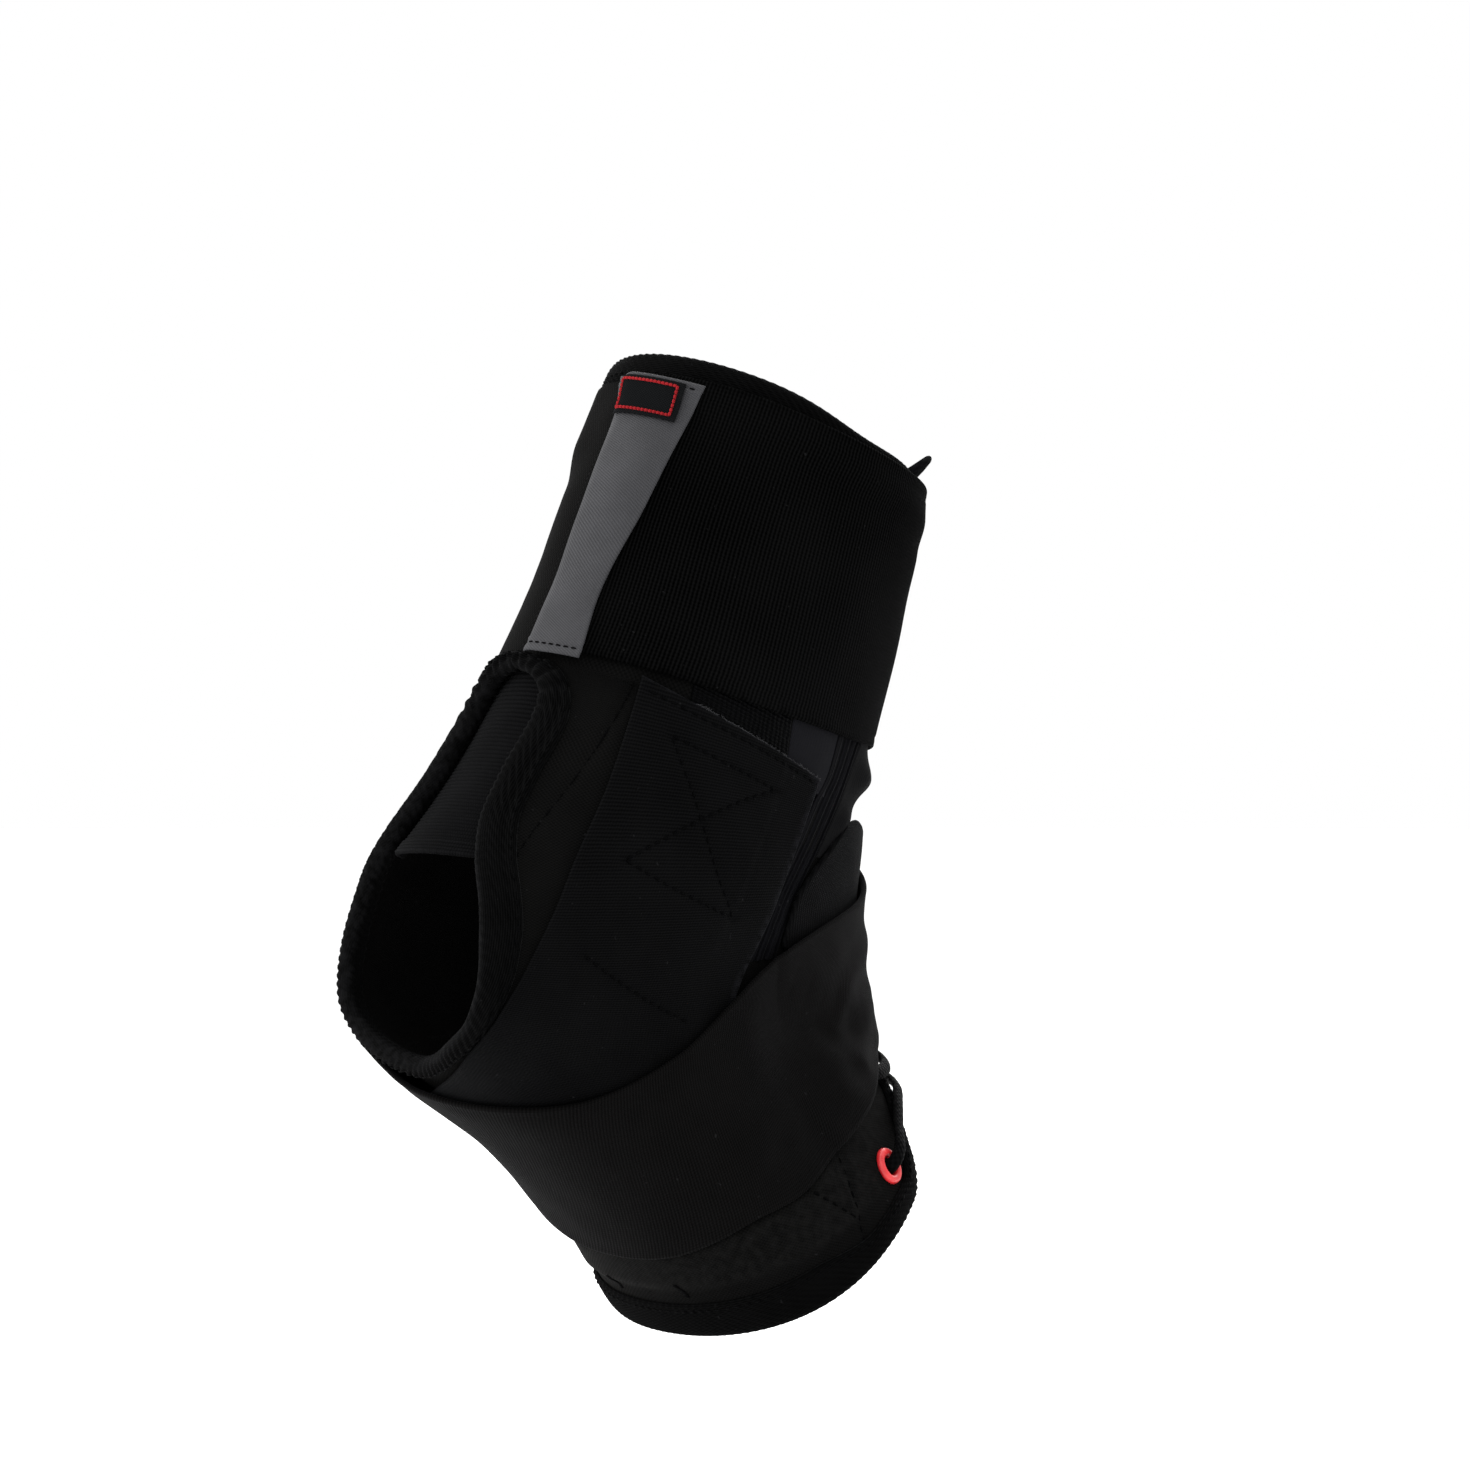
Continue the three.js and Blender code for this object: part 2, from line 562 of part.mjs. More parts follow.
// Tongue: it lies deepest under the shell's edges, is crowned between them and flares out above the rim,
// and its side edges rise to the shell where they are sewn
function tongueGeometry() {
  const [steps, columns] = [18, 6];
  const laceRoom = LACE_WIDTH + 2 * TAPE_GAP;
  return wall(steps, columns, (r, c, face) => {
    const station = THREE.MathUtils.lerp(TONGUE.top, TONGUE.bottom, (r / steps) ** 1.15);
    const across = (2 * c) / columns - 1;
    const turn = across * TONGUE.spread;
    const crown = TONGUE.crown * Math.max(0, 1 - (turn / TONGUE.crownSpread) ** 2);
    const above = 1 - THREE.MathUtils.smoothstep(station, TONGUE.top, TONGUE_FLARE.below);
    const middle = 1 - THREE.MathUtils.smoothstep(Math.abs(turn), TONGUE_FLARE.from, TONGUE_FLARE.to);
    const flare = TONGUE_FLARE.rise * above * middle;
    const { from, to, fade, spread, gap } = TONGUE_SEAM;
    const stretch = THREE.MathUtils.smoothstep(station, from - fade, from)
      * (1 - THREE.MathUtils.smoothstep(station, to, to + fade));
    const sewn = stretch * THREE.MathUtils.smoothstep(Math.abs(turn), spread, TONGUE.spread);
    const free = TAPE_INSIDE - laceRoom + crown + flare;
    const outer = THREE.MathUtils.lerp(free, -gap, sewn);
    return skin(station, 180 + turn, outer - (1 - face) * TONGUE_WALL);
  });
}

// Station and angle on a strap, mirrored for the strap of the other side
function strapPlace(along, across, mirror) {
  const place = along * (STRAP.length - 1);
  const at = (column) => columnAt(STRAP, column, place);
  return {
    station: THREE.MathUtils.lerp(at('heelStation'), at('toeStation'), across),
    angle: mirror * THREE.MathUtils.lerp(at('heelAngle'), at('toeAngle'), across),
  };
}

// What a strap has to rise over: a place on the form, how far, and how widely
function strapObstacles(mirror) {
  const [along, across] = [90, 12];
  const list = [];
  for (let i = 0; i <= along; i += 1) {
    for (let j = 0; j <= across; j += 1) {
      const { station, angle } = strapPlace(i / along, j / across, mirror);
      list.push({ at: formPoint(station, angle), rise: STRAP_WALL + CROSSING_GAP, reach: 5, fade: 8 });
    }
  }
  return list;
}

// The eyelets with the lace in them, and the lace beside them
function laceObstacles() {
  const eyeletRise = EYELET_RISE + LAYER_GAP + LACE_THICKNESS;
  const eyelets = eyeletPlaces.map(({ station, angle }) => (
    { at: formPoint(station, angle), rise: eyeletRise, reach: EYELET_RIM, fade: HUMP.fade }
  ));
  const humps = [-1, 1].flatMap((side) => LACE_HUMPS.map(({ station, angle, rise }) => (
    { at: formPoint(station, side * angle), rise, ...HUMP }
  )));
  return [...eyelets, ...humps];
}

// How far a layer rises at a point: fully over each obstacle, fading out beyond it
function riseOver(obstacles, point) {
  return obstacles.reduce((most, { at, rise, reach, fade }) => {
    const away = point.distanceTo(at);
    return Math.max(most, rise * (1 - THREE.MathUtils.smoothstep(away, reach, reach + fade)));
  }, 0);
}

// A strap rises over several groups of obstacles, one on top of the other
function strapGeometry(mirror, groups) {
  const rise = new Map();
  const riseAt = (point) => groups.reduce((sum, group) => sum + riseOver(group, point), 0);
  return wall(STRAP_STEPS, STRAP_COLUMNS, (r, c, face) => {
    const { station, angle } = strapPlace(r / STRAP_STEPS, c / STRAP_COLUMNS, mirror);
    const key = `${r} ${c}`;
    if (!rise.has(key)) rise.set(key, riseAt(formPoint(station, angle)));
    return skin(station, angle, SHELL_WALL + STRAP_GAP + rise.get(key) + face * STRAP_WALL);
  });
}

// Eyelet: a ring whose barrel goes through the shell and whose rim lies on it
function eyeletGeometry(station, angle) {
  const foot = 0.4;
  const round = 0.4;
  const seat = SHELL_WALL + RIM_GAP;
  const top = seat + EYELET_RISE;
  const profile = [
    [EYELET_BORE, foot], [EYELET_BARREL, foot], [EYELET_BARREL, seat], [EYELET_RIM, seat],
    [EYELET_RIM - round, top - round], [(EYELET_RIM + EYELET_BORE) / 2, top], [EYELET_BORE, top - round],
    [EYELET_BORE, foot],
  ].map(([x, y]) => new THREE.Vector2(x, y));
  return standAt(new THREE.LatheGeometry(profile, EYELET_SIDES), station, angle);
}

// Lace: one cord, whose far half mirrors the near half with its own heights
function laceGeometry() {
  const near = LACE.map(({ station, angle, near: height }) => skin(station, -angle, height));
  const far = LACE.slice(1).map(({ station, angle, far: height }) => skin(station, angle, height));
  const path = new THREE.CatmullRomCurve3([...far.reverse(), ...near], false, 'centripetal');
  const section = new THREE.Shape(Array.from({ length: LACE_SIDES }, (_, i) => {
    const turn = (2 * Math.PI * i) / LACE_SIDES;
    return new THREE.Vector2((LACE_THICKNESS / 2) * Math.cos(turn), (LACE_WIDTH / 2) * Math.sin(turn));
  }));
  return new THREE.ExtrudeGeometry(section, { steps: LACE_STEPS, extrudePath: path, bevelEnabled: false });
}

const brace = new THREE.Group();

function add(name, geometry, colour, roughness, metalness = 0) {
  const material = new THREE.MeshStandardMaterial({ color: COLOURS[colour], roughness, metalness });
  const mesh = new THREE.Mesh(geometry, material);
  mesh.name = name;
  brace.add(mesh);
}

const innerMirror = -1;
const outerMirror = 1;
const laceRises = laceObstacles();

add('shell', shellGeometry(), 'shell', 0.9);
add('tongue', tongueGeometry(), 'tongue', 0.8);
add('achilles_panel', knitGeometry(), 'knit', 0.95);
add('binding_top', foldedTape(topRoute(), 1, false), 'tape', 0.9);
add('binding_heel', foldedTape(heelRoute(), 1, true), 'tape', 0.9);
add('binding_toe', foldedTape(toeRoute(), -1, false), 'tape', 0.9);
add('strap_inner', strapGeometry(innerMirror, [laceRises]), 'strap', 0.8);
add('strap_outer', strapGeometry(outerMirror, [laceRises, strapObstacles(innerMirror)]), 'strap', 0.8);
add('cuff', cuffGeometry(), 'cuff', 0.95);
add('label_strip', stripGeometry(), 'label', 0.7);
add('label_patch', patchGeometry(), 'patch', 0.85);
for (const { name, station, angle } of eyeletPlaces) {
  add(name, eyeletGeometry(station, angle), 'eyelet', 0.4);
}
add('lace', laceGeometry(), 'lace', 0.85);

export default brace;
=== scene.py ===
"""Looks of a lace-up ankle brace with crossing straps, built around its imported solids.

Pieces are worked out in millimetres on the form that the leg and foot fill. A place on the form is a station
(0 at the top rim, 9 at the toe rim) and an angle (0 at the back and sole, 180 at the front, minus on the near
side), and a height stands above it.
"""

import math

import bpy
import numpy as np
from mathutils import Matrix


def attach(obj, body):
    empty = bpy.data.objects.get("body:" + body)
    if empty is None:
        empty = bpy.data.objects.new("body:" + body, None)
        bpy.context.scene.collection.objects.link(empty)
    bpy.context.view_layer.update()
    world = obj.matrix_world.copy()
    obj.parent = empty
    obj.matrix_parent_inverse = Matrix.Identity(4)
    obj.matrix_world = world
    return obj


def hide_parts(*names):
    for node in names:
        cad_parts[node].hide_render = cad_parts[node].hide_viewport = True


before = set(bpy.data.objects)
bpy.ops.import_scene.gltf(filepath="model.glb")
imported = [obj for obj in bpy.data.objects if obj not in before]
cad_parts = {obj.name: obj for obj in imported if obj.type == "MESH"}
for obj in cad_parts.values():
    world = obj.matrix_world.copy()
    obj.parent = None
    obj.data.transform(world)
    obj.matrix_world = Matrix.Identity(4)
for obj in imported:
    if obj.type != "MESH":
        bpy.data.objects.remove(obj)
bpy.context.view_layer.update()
MM = 0.001

# Thicknesses of the fabrics and the heights at which the layers lie
SHELL_WALL = 2.2
STRAP_WALL = 1.5
CUFF_WALL = 1.6
LABEL_WALL = 1.0
PATCH_WALL = 0.8
KNIT_WALL = 1.4
TONGUE_WALL = 2.6
STRAP_GAP = 0.8
LAYER_GAP = 0.65
ON_SHELL = SHELL_WALL + LAYER_GAP
TAPE_TOP = 3.7
TAPE_UNDER = -1.4
TAPE_RIB = 1.8
TAPE_CLEAR = 3.9
PATCH_GAP = 0.3

# Rounding of a cloth's border and reach of its edge tone, in wall thicknesses, and how worn a plain edge
# is. The edge tone is worn paler on most cloths and is a painted dark shade on the cuff.
BORDER_ROUND = 0.65
WEAR_AND_SHADE_REACH = 1.6
PLAIN_WEAR = 0.25

# Sections of the form: frontX, frontZ, backX, backZ, half width, taper, exponent of the superellipse
SECTIONS = np.array([
    (82, 83, 8, 115.5, 34, 0.06, 2.0),
    (77, 47, -9, 82.5, 33, 0.08, 2.0),
    (66.5, 11.5, -24, 48.5, 35.5, 0.10, 2.0),
    (65.5, -8, -46.5, 13, 37, 0.16, 2.0),
    (65, -23, -69, -15.5, 38.5, 0.25, 2.0),
    (66.5, -35, -78, -43.5, 38.5, 0.30, 2.0),
    (67.5, -47, -52, -62.5, 35.5, 0.29, 2.0),
    (69.5, -58.5, -27, -78, 37, 0.30, 2.1),
    (75.5, -69, -2, -101, 42, 0.34, 2.15),
    (82.8, -79.5, 18, -128, 45, 0.36, 2.1),
])
LAST_STATION = len(SECTIONS) - 1

# Edge of the heel opening on the far side: station, angle, width of its tape outside
HEEL_EDGE = np.array([
    (2.27, 0, 2.5), (2.31, 10, 3.5), (2.42, 18.5, 6), (2.62, 21.8, 8), (3.0, 21.3, 8.5),
    (3.36, 23.5, 8.5), (3.72, 29.5, 8.5), (4.04, 35.2, 8.5), (4.38, 39.4, 8.5), (4.72, 41.5, 7),
    (5.02, 39.6, 5), (5.32, 32.5, 3.6), (5.6, 18.5, 2.8), (5.74, 8, 2.6), (5.78, 0, 2.6),
])

# Front edge of the shell: station, angle
THROAT_EDGE = np.array([
    (0, 140), (2, 141), (6, 142), (7, 142), (7.5, 145), (7.8, 144.5), (8.1, 138.5), (8.35, 131),
    (8.6, 125), (8.8, 121), (8.93, 116), (9, 110),
])

# One crossing strap from its sewn start to its cut end: heel edge angle and station, toe edge angle and
# station
STRAP = np.array([
    (133, 2.8, 116, 4.62), (144, 2.68, 146, 5.5), (165, 2.85, 184, 6.4), (185, 3.25, 208, 6.95),
    (206, 3.75, 224, 7.24), (229, 4.2, 249, 7.68), (247, 4.68, 271, 7.9), (266, 5.36, 290, 8.06),
    (290, 5.98, 312, 8.09), (316, 6.26, 344, 8.2), (345, 6.14, 374, 8.08), (371, 5.84, 402, 7.65),
    (389, 5.5, 428, 6.95), (403, 5.13, 447, 6.0), (411, 4.68, 461.5, 5.04), (413.8, 3.98, 469.5, 4.08),
    (411.5, 3.0, 471, 3.08), (408, 2.22, 473, 2.46),
])
# Length of a strap on its map, along which its stitches are placed. The strap itself is shorter.
STRAP_MAP = 420
STRAP_WIDTH = 50

# Elastic cuff: angle, station of its top edge, station of its bottom edge
CUFF = np.array([
    (-14, 0.16, 2.19), (-48, 0.12, 2.17), (-83, 0.1, 2.12), (-119, 0.05, 1.985), (-150, 0, 1.83),
    (-180, 0, 1.78), (-210, 0, 1.83), (-241, 0.05, 1.985), (-277, 0.1, 2.12), (-312, 0.12, 2.17),
])
CUFF_LENGTH = 205
CUFF_WIDTH = 75

# Label strip: station, angle of its back edge, angle of its front edge
STRIP = np.array([
    (0.19, -1, -37.8), (0.6, -5, -35.2), (1.1, -8, -32.5), (1.75, -7, -27), (2.24, -7.3, -28.8),
])
STRIP_LENGTH = 78
STRIP_WIDTH = 19
PATCH = {"top": 0.22, "bottom": 0.49, "back": -6, "front": -32}

KNIT = {"top": 2.1, "bottom": 3.7, "top_angle": 31, "bottom_angle": 38, "arch": 0.05, "outer": -2.2}
TONGUE = {
    "top": -0.06, "slope": 0.3, "bottom": 8.15, "spread": 57, "crown": 1.6, "crown_spread": 42, "deep": -5.9,
}
TONGUE_TAB = {"height": 0.28, "turn": 30, "width": 6, "rise": 12.2, "spread": 10, "below": 0.34}
TONGUE_SEAM = {"from": 0.9, "to": 6.2, "fade": 0.6, "spread": 40, "gap": 0.45}

# Eyelets on each side: station, angle
EYELETS = np.array([(8.46, 105), (7.34, 112)])
EYELET_BORE = 2.5
EYELET_RIM = 4.8
EYELET_SEAT = 2.4
EYELET_RISE = 1.35

# Half of the lace's route: station, angle, height on the near half, height on the far half
LACE = np.array([
    (8.6, 180, -0.9, -0.9), (8.6, 148, -2.6, -2.6), (8.55, 122, -3.2, -3.2), (8.49, 108, -2.4, -2.4),
    (8.46, 105, 0, 0), (8.46, 105, 3.6, 3.6), (8.4, 110, 5.2, 5.2), (8.2, 121, 4.8, 4.8),
    (8.02, 133, 4.9, 4.9), (7.92, 144, 4.8, 4.8), (7.8, 158, 3.0, 2.6), (7.66, 180, 2.5, 0.2),
    (7.5, 205, 0.2, -0.8), (7.4, 224, -3.2, -3.2), (7.34, 243, -2.6, -2.6), (7.34, 248, 0, 0),
    (7.34, 248, 3.6, 3.6),
    (7.34, 243, 4.7, 4.7), (7.37, 233, 4.0, 4.0), (7.5, 222, 4.9, 4.9), (7.44, 208, 4.9, 4.9),
    (6.76, 180, 1.2, -1.6), (6.5, 158, 1.0, -1.6), (5.4, 151, 0.9, -1.6), (4.4, 155, 0.9, -1.6),
    (3.4, 167, 1.0, -1.6), (2.6, 180, 1.1, -1.7), (1.6, 197, 0.6, -1.7),
])
LACE_WIDTH = 3.6
LACE_THICKNESS = 1.9

# Where the lace lies on the shell under a strap, on each side: station, angle, the strap's rise over it
LACE_HUMPS = np.array([(7.34, 114, 3.1), (7.31, 122, 2.6), (7.3, 127, 2.2), (7.22, 138, 1.9)])

# Makeup of a ripple, and the soft unevenness of each cloth: height, size, seed
RIPPLE = {"waves": 7, "sizes": (0.7, 1.4), "phase": 6.28, "level": 3.5}
SHELL_WAVES = [(0.14, 26, 3), (0.05, 9, 4)]
STRAP_WAVES = [(0.22, 34, 11), (0.1, 13, 12)]
CUFF_WAVES = [(0.28, 40, 21)]
STRIP_WAVES = [(0.18, 17, 31)]
KNIT_WAVES = [(0.12, 15, 41)]
TONGUE_WAVES = [(0.2, 22, 51)]

# Relief of the shell: how its top rim dips, how seams sink between low lips, how it swells past the
# strap, and how it stands off at the back of the far side. Lengths in millimetres, places in stations and
# degrees.
RIM_DIP = {"stations": 0.05, "angle": 97, "spread": 22, "below": 0.5}
SEAM_SINK = {"depth": 0.6, "width": 0.8, "lip": 0.2, "lip_away": 2.0, "lip_width": 1.0}
TOE_SWELL = {
    "start": (0.0, 0.05), "end": (8.5, 8.64), "side": (76, 94), "rise": 1.3,
    "sole_rise": 0.5, "sole_spread": 30,
}
STAND_OFF = {"rise": 2.2, "angle": 29, "spread": 12, "top": (0.05, 0.2), "bottom": (0.6, 0.95)}
SHELL_RUB = 0.55
SHELL_MAP = (330, 95)
SHELL_ROWS = {"above": 52, "opening": 150, "below": 86}
TACK = {"stations": (8.52, 8.66), "count": 9, "angle": 13.0}

# Relief of a strap: rises over eyelets, lace and the other strap with the distances over which they fade,
# folds, the beaded edge, the doubled cloth near the cut end, sunk stitches and the flush toe edge
STRAP_BOW = {"angle": 6, "reach": 25}
STRAP_RISE = {"eyelet": 2.9, "eyelet_fade": 18, "lace_fade": (4, 22), "overlap": 2.2, "overlap_fade": (3, 20)}
STRAP_FOLD = {"rise": 0.45, "width": 3.0, "dip": 0.15, "dip_away": 6, "dip_width": 3}
STRAP_EDGE = {"calm": 6, "bead": 0.12, "bead_width": 1.2}
DOUBLED = {"rise": 0.35, "across": (0.755, 0.79), "along": (55, 75), "start": 5}
STITCH_SINK = {"depth": 0.5, "width": 1.1, "deepest": -0.6}
TOE_FLUSH = {"drop": 0.95, "across": (0.7, 1), "along": (110, 150)}
STRAP_WORN = {"cut": 0.8, "cut_reach": 0.5, "selvage": (0.9, 0.95), "selvage_end": (95, 125), "least": 0.02}

# Relief of the cuff, of the label strip's folded ends and of the knit panel
TAPE_STEP = (0.22, 0.45)
CUFF_HEM = {"calm": 8, "sink": 0.2, "away": 3.2, "width": 0.8}
CUFF_BULGE = {"rise": 1.3, "turn": 35, "spread": 25, "station": 0.45, "reach": 0.25}
CUFF_END = (2, 11)
STRIP_FOLD = {"rise": 0.22, "end": (3.4, 4.4), "sink": 0.3, "stitch": 2.2, "width": 0.6}
KNIT_MAP = (62, 56)
KNIT_RIB = {"height": 0.16, "pitch": 1.15, "hem_share": 0.6}
KNIT_HEM = {"rise": 0.35, "from": 5, "to": 4}
TONGUE_MAP = (270, 76)
PATCH_MAP = (11, 17)

# Folded tape: the crown of its outer leg, the lip at that leg's end, and its nose round the edge. Then
# the depths of its inner leg from the edge, and the side that lies on the shell as depth and height.
TAPE_FOLD = {"crown": 0.35, "lip": 0.75, "lip_width": 0.5, "nose_start": 0.6, "nose": 2.1}
TAPE_INNER = [0.6, 1.7, 2.8, 3.9, 4.6]
TAPE_BACK = [(5.0, TAPE_UNDER + 0.4), (4.8, -0.3), (0.2, -0.3), (-0.4, 0.4), (-0.4, 1.8), (0.2, 2.4)]
TAPE_TUCK = {"inset": 0.3, "height": 2.4}
TAPE_WORN = {"depth": -1.2, "reach": 0.8}
PLAIN_RIB = {"height": 0.22, "slant": 0.7}
HEEL_RIB = {
    "height": 0.27, "steep_pitch": 1.75, "steep_slant": 0.4, "wander": 1.3, "wander_length": 5,
    "rope_pitch": 2.3, "rope_slant": 0.7, "groove": 0.45, "groove_at": 0.42, "groove_width": 0.1,
}
HEEL_PUCKER = {"height": 0.45, "pitch": 3.6, "wander": 2.2, "wander_length": 7, "fade": (12, 30)}
TOP_TAPE = {"angle": 138.5, "width": 6}
TOE_TAPE = {"width": 5, "sole_width": 9, "sole": (55, 85)}

# Rounding of the eyelets' profile, and the lace's oval, its braid and how it is carried along its path
EYELET_ROUND = {"foot": 0.4, "foot_inset": 0.5, "rim_inset": 0.2, "rim_drop": 0.15, "power": 0.8}
LACE_OVAL = {"power": 0.75, "braid": 0.05, "braid_pitch": 1.3, "map_radius": 1.6}
LACE_CARRY = {"step": 0.55, "ease": 0.25, "rough": 4000}

# Threads: length, thickness
THREADS = {
    "strap_stitches": (2.2, 0.6),
    "cut_end_fibres": (1.7, 0.14),
    "tape_stitches": (2.1, 0.5),
    "strip_stitches": (1.7, 0.45),
    "patch_edging": (1.25, 0.75),
    "shell_stitches": (2.2, 0.6),
    "side_seams": (2.2, 0.42),
    "cuff_stitches": (2.2, 0.5),
}

# Loose fibres on each cut end: how many, the share across that they cover and how it crowds, and their
# scatter
FIBRES = {
    "count": 150, "cover": 0.72, "crowd": 1.2, "lean": 0.5, "lift": 0.3, "sunk": 0.75, "spread": (-0.5, 0.6),
}

# The photograph's camera, in millimetres and degrees, and the floor below the brace
PHOTO_CAMERA = {"azimuth": 35, "right": 28.97, "up": 21.41, "away": 1388.5, "lens": 135, "sensor": 36}
FLOOR = {"height": -154.0, "glow": 0.22, "radii": (0.0001, 0.6, 1.5, 4.0, 9.0)}


def lerp(start, end, share):
    """The value that lies at a share of the way from start to end."""
    return start + (end - start) * share


def smoothstep(value, low, high):
    """0 below low, 1 above high, and a smooth S between them."""
    share = np.clip((value - low) / (high - low), 0, 1)
    return share * share * (3 - 2 * share)


def spline(values, place):
    """Catmull-Rom curve through evenly spaced values, which runs on past both ends."""
    place = np.asarray(place, float)
    row = np.clip(np.floor(place).astype(int), 0, len(values) - 2)
    padded = np.concatenate(([2 * values[0] - values[1]], values, [2 * values[-1] - values[-2]]))
    a, b, c, d = (padded[row + k] for k in range(4))
    t = place - row
    return b + 0.5 * t * (c - a + t * (2 * a - 5 * b + 4 * c - d + t * (3 * (b - c) + d - a)))


def columns(table, share):
    """All columns of a table by spline, at shares from 0 at its first row to 1 at its last."""
    return [spline(table[:, k], np.asarray(share) * (len(table) - 1)) for k in range(table.shape[1])]


def form(station, angle):
    """Superellipse sections joined by spline: x and z go from front to back with the cosine of the angle,
    y goes with its sine times the half width, wider at the back by the taper."""
    share = np.asarray(station) / LAST_STATION
    front_x, front_z, back_x, back_z, half, taper, square = columns(SECTIONS, share)
    cosine, sine = np.cos(np.radians(angle)), np.sin(np.radians(angle))
    along = np.sign(cosine) * np.abs(cosine) ** (2 / square)
    side = np.sign(sine) * np.abs(sine) ** (2 / square) * (1 + taper * cosine)
    x = (front_x + back_x - along * (front_x - back_x)) / 2
    z = (front_z + back_z - along * (front_z - back_z)) / 2
    return np.stack(np.broadcast_arrays(x, side * half, z), -1)


def unit(vectors):
    """Vectors divided by their lengths."""
    return vectors / np.linalg.norm(vectors, axis=-1, keepdims=True)


def slopes(station, angle):
    """Directions on the form by central differences: for one station, for one degree, and outwards, which
    is the cross product of the two."""
    step_station, step_angle = 0.002, 0.1
    down = (form(station + step_station, angle) - form(station - step_station, angle)) / (2 * step_station)
    turn = (form(station, angle + step_angle) - form(station, angle - step_angle)) / (2 * step_angle)
    return down, turn, unit(np.cross(turn, down))


def skin(station, angle, height):
    """Points of the form moved outwards by a height."""
    station, angle, height = np.broadcast_arrays(station, angle, height)
    return form(station, angle) + slopes(station, angle)[2] * height[..., None]


def ripple(points, size, seed):
    """Soft unevenness from about -1 to 1: the sum of seven sine waves of about one size in seeded
    directions."""
    chance = np.random.default_rng(seed)
    count = RIPPLE["waves"]
    ways = unit(chance.normal(size=(count, 3))) / (size * chance.uniform(*RIPPLE["sizes"], (count, 1)))
    phase = chance.uniform(0, RIPPLE["phase"], count)
    return np.sin(points @ (2 * np.pi * ways).T + phase).sum(-1) / RIPPLE["level"]


def waves(points, rows):
    """The sum of ripples, for rows of height, size and seed."""
    return sum(height * ripple(points, size, seed) for height, size, seed in rows)


def nearest(points, others):
    """Distance from every point to the nearest of some other points."""
    best = np.full(points.shape[:-1], np.inf)
    for other in others:
        best = np.minimum(best, ((points - other) ** 2).sum(-1))
    return np.sqrt(best)


def at_rows(table, row):
    """The columns of a table at fractional row numbers, by straight lines between its rows."""
    return np.stack([np.interp(row, np.arange(len(table)), column) for column in table.T], -1)


def trail(rows):
    """Sixty points on the form along a spline through rows of station and angle."""
    station, angle = columns(np.array(rows, float), np.linspace(0, 1, 60))
    return form(station, angle)


def mound(distance, size):
    """Bell curve: 1 at no distance, and nearly 0 at twice the size."""
    return np.exp(-((distance / size) ** 2))


def make_piece(name, points, quads, cloth, marks=None):
    """Mesh from points in millimetres and quads, turned to face out where its signed volume is negative.
    cloth is the UV map in millimetres, and marks are values at the points that a finish can read."""
    place = np.asarray(points, float).reshape(-1, 3) * MM
    quads = np.asarray(quads)
    a, b, c, d = (place[quads[:, k]] for k in range(4))
    volume = (np.cross(b - a, c - a) * a).sum() + (np.cross(c - a, d - a) * a).sum()
    if volume < 0:
        quads = quads[:, ::-1]
    mesh = bpy.data.meshes.new(name)
    mesh.vertices.add(len(place))
    mesh.vertices.foreach_set("co", place.ravel())
    mesh.loops.add(quads.size)
    mesh.loops.foreach_set("vertex_index", quads.ravel().astype(np.int32))
    mesh.polygons.add(len(quads))
    mesh.polygons.foreach_set("loop_start", np.arange(0, quads.size, 4, dtype=np.int32))
    mesh.polygons.foreach_set("use_smooth", np.ones(len(quads), bool))
    layer = mesh.uv_layers.new(name="cloth")
    layer.data.foreach_set("uv", np.asarray(cloth, float).reshape(-1, 2)[quads.ravel()].ravel())
    for mark, values in (marks or {}).items():
        attribute = mesh.attributes.new(mark, "FLOAT", "POINT")
        attribute.data.foreach_set("value", np.asarray(values, float).ravel())
    mesh.update(calc_edges=True)
    mesh.validate()
    piece = bpy.data.objects.new(name, mesh)
    bpy.context.scene.collection.objects.link(piece)
    return piece


def grid_quads(numbers):
    """Quads between neighbours in a grid of vertex numbers."""
    corners = (numbers[:-1, :-1], numbers[:-1, 1:], numbers[1:, 1:], numbers[1:, :-1])
    return np.stack(corners, -1).reshape(-1, 4)


def ring_numbers(rings, count, closed=False):
    """Vertex numbers of some rings, each with its first number again at its end, and the first ring again
    if the rings close up."""
    numbers = np.arange(rings * count).reshape(rings, count)
    numbers = np.concatenate((numbers, numbers[:, :1]), 1)
    return np.concatenate((numbers, numbers[:1])) if closed else numbers


def shares(length, step, rim):
    """Shares of a length from 0 to 1, an even step apart, and closer within the rim at both ends."""
    ends = np.array([0, 0.1, 0.35, 0.7]) * rim / length
    count = max(2, round((length - 2 * rim) / step))
    middle = np.linspace(rim / length, 1 - rim / length, count + 1)
    return np.concatenate((ends, middle, 1 - ends[::-1]))


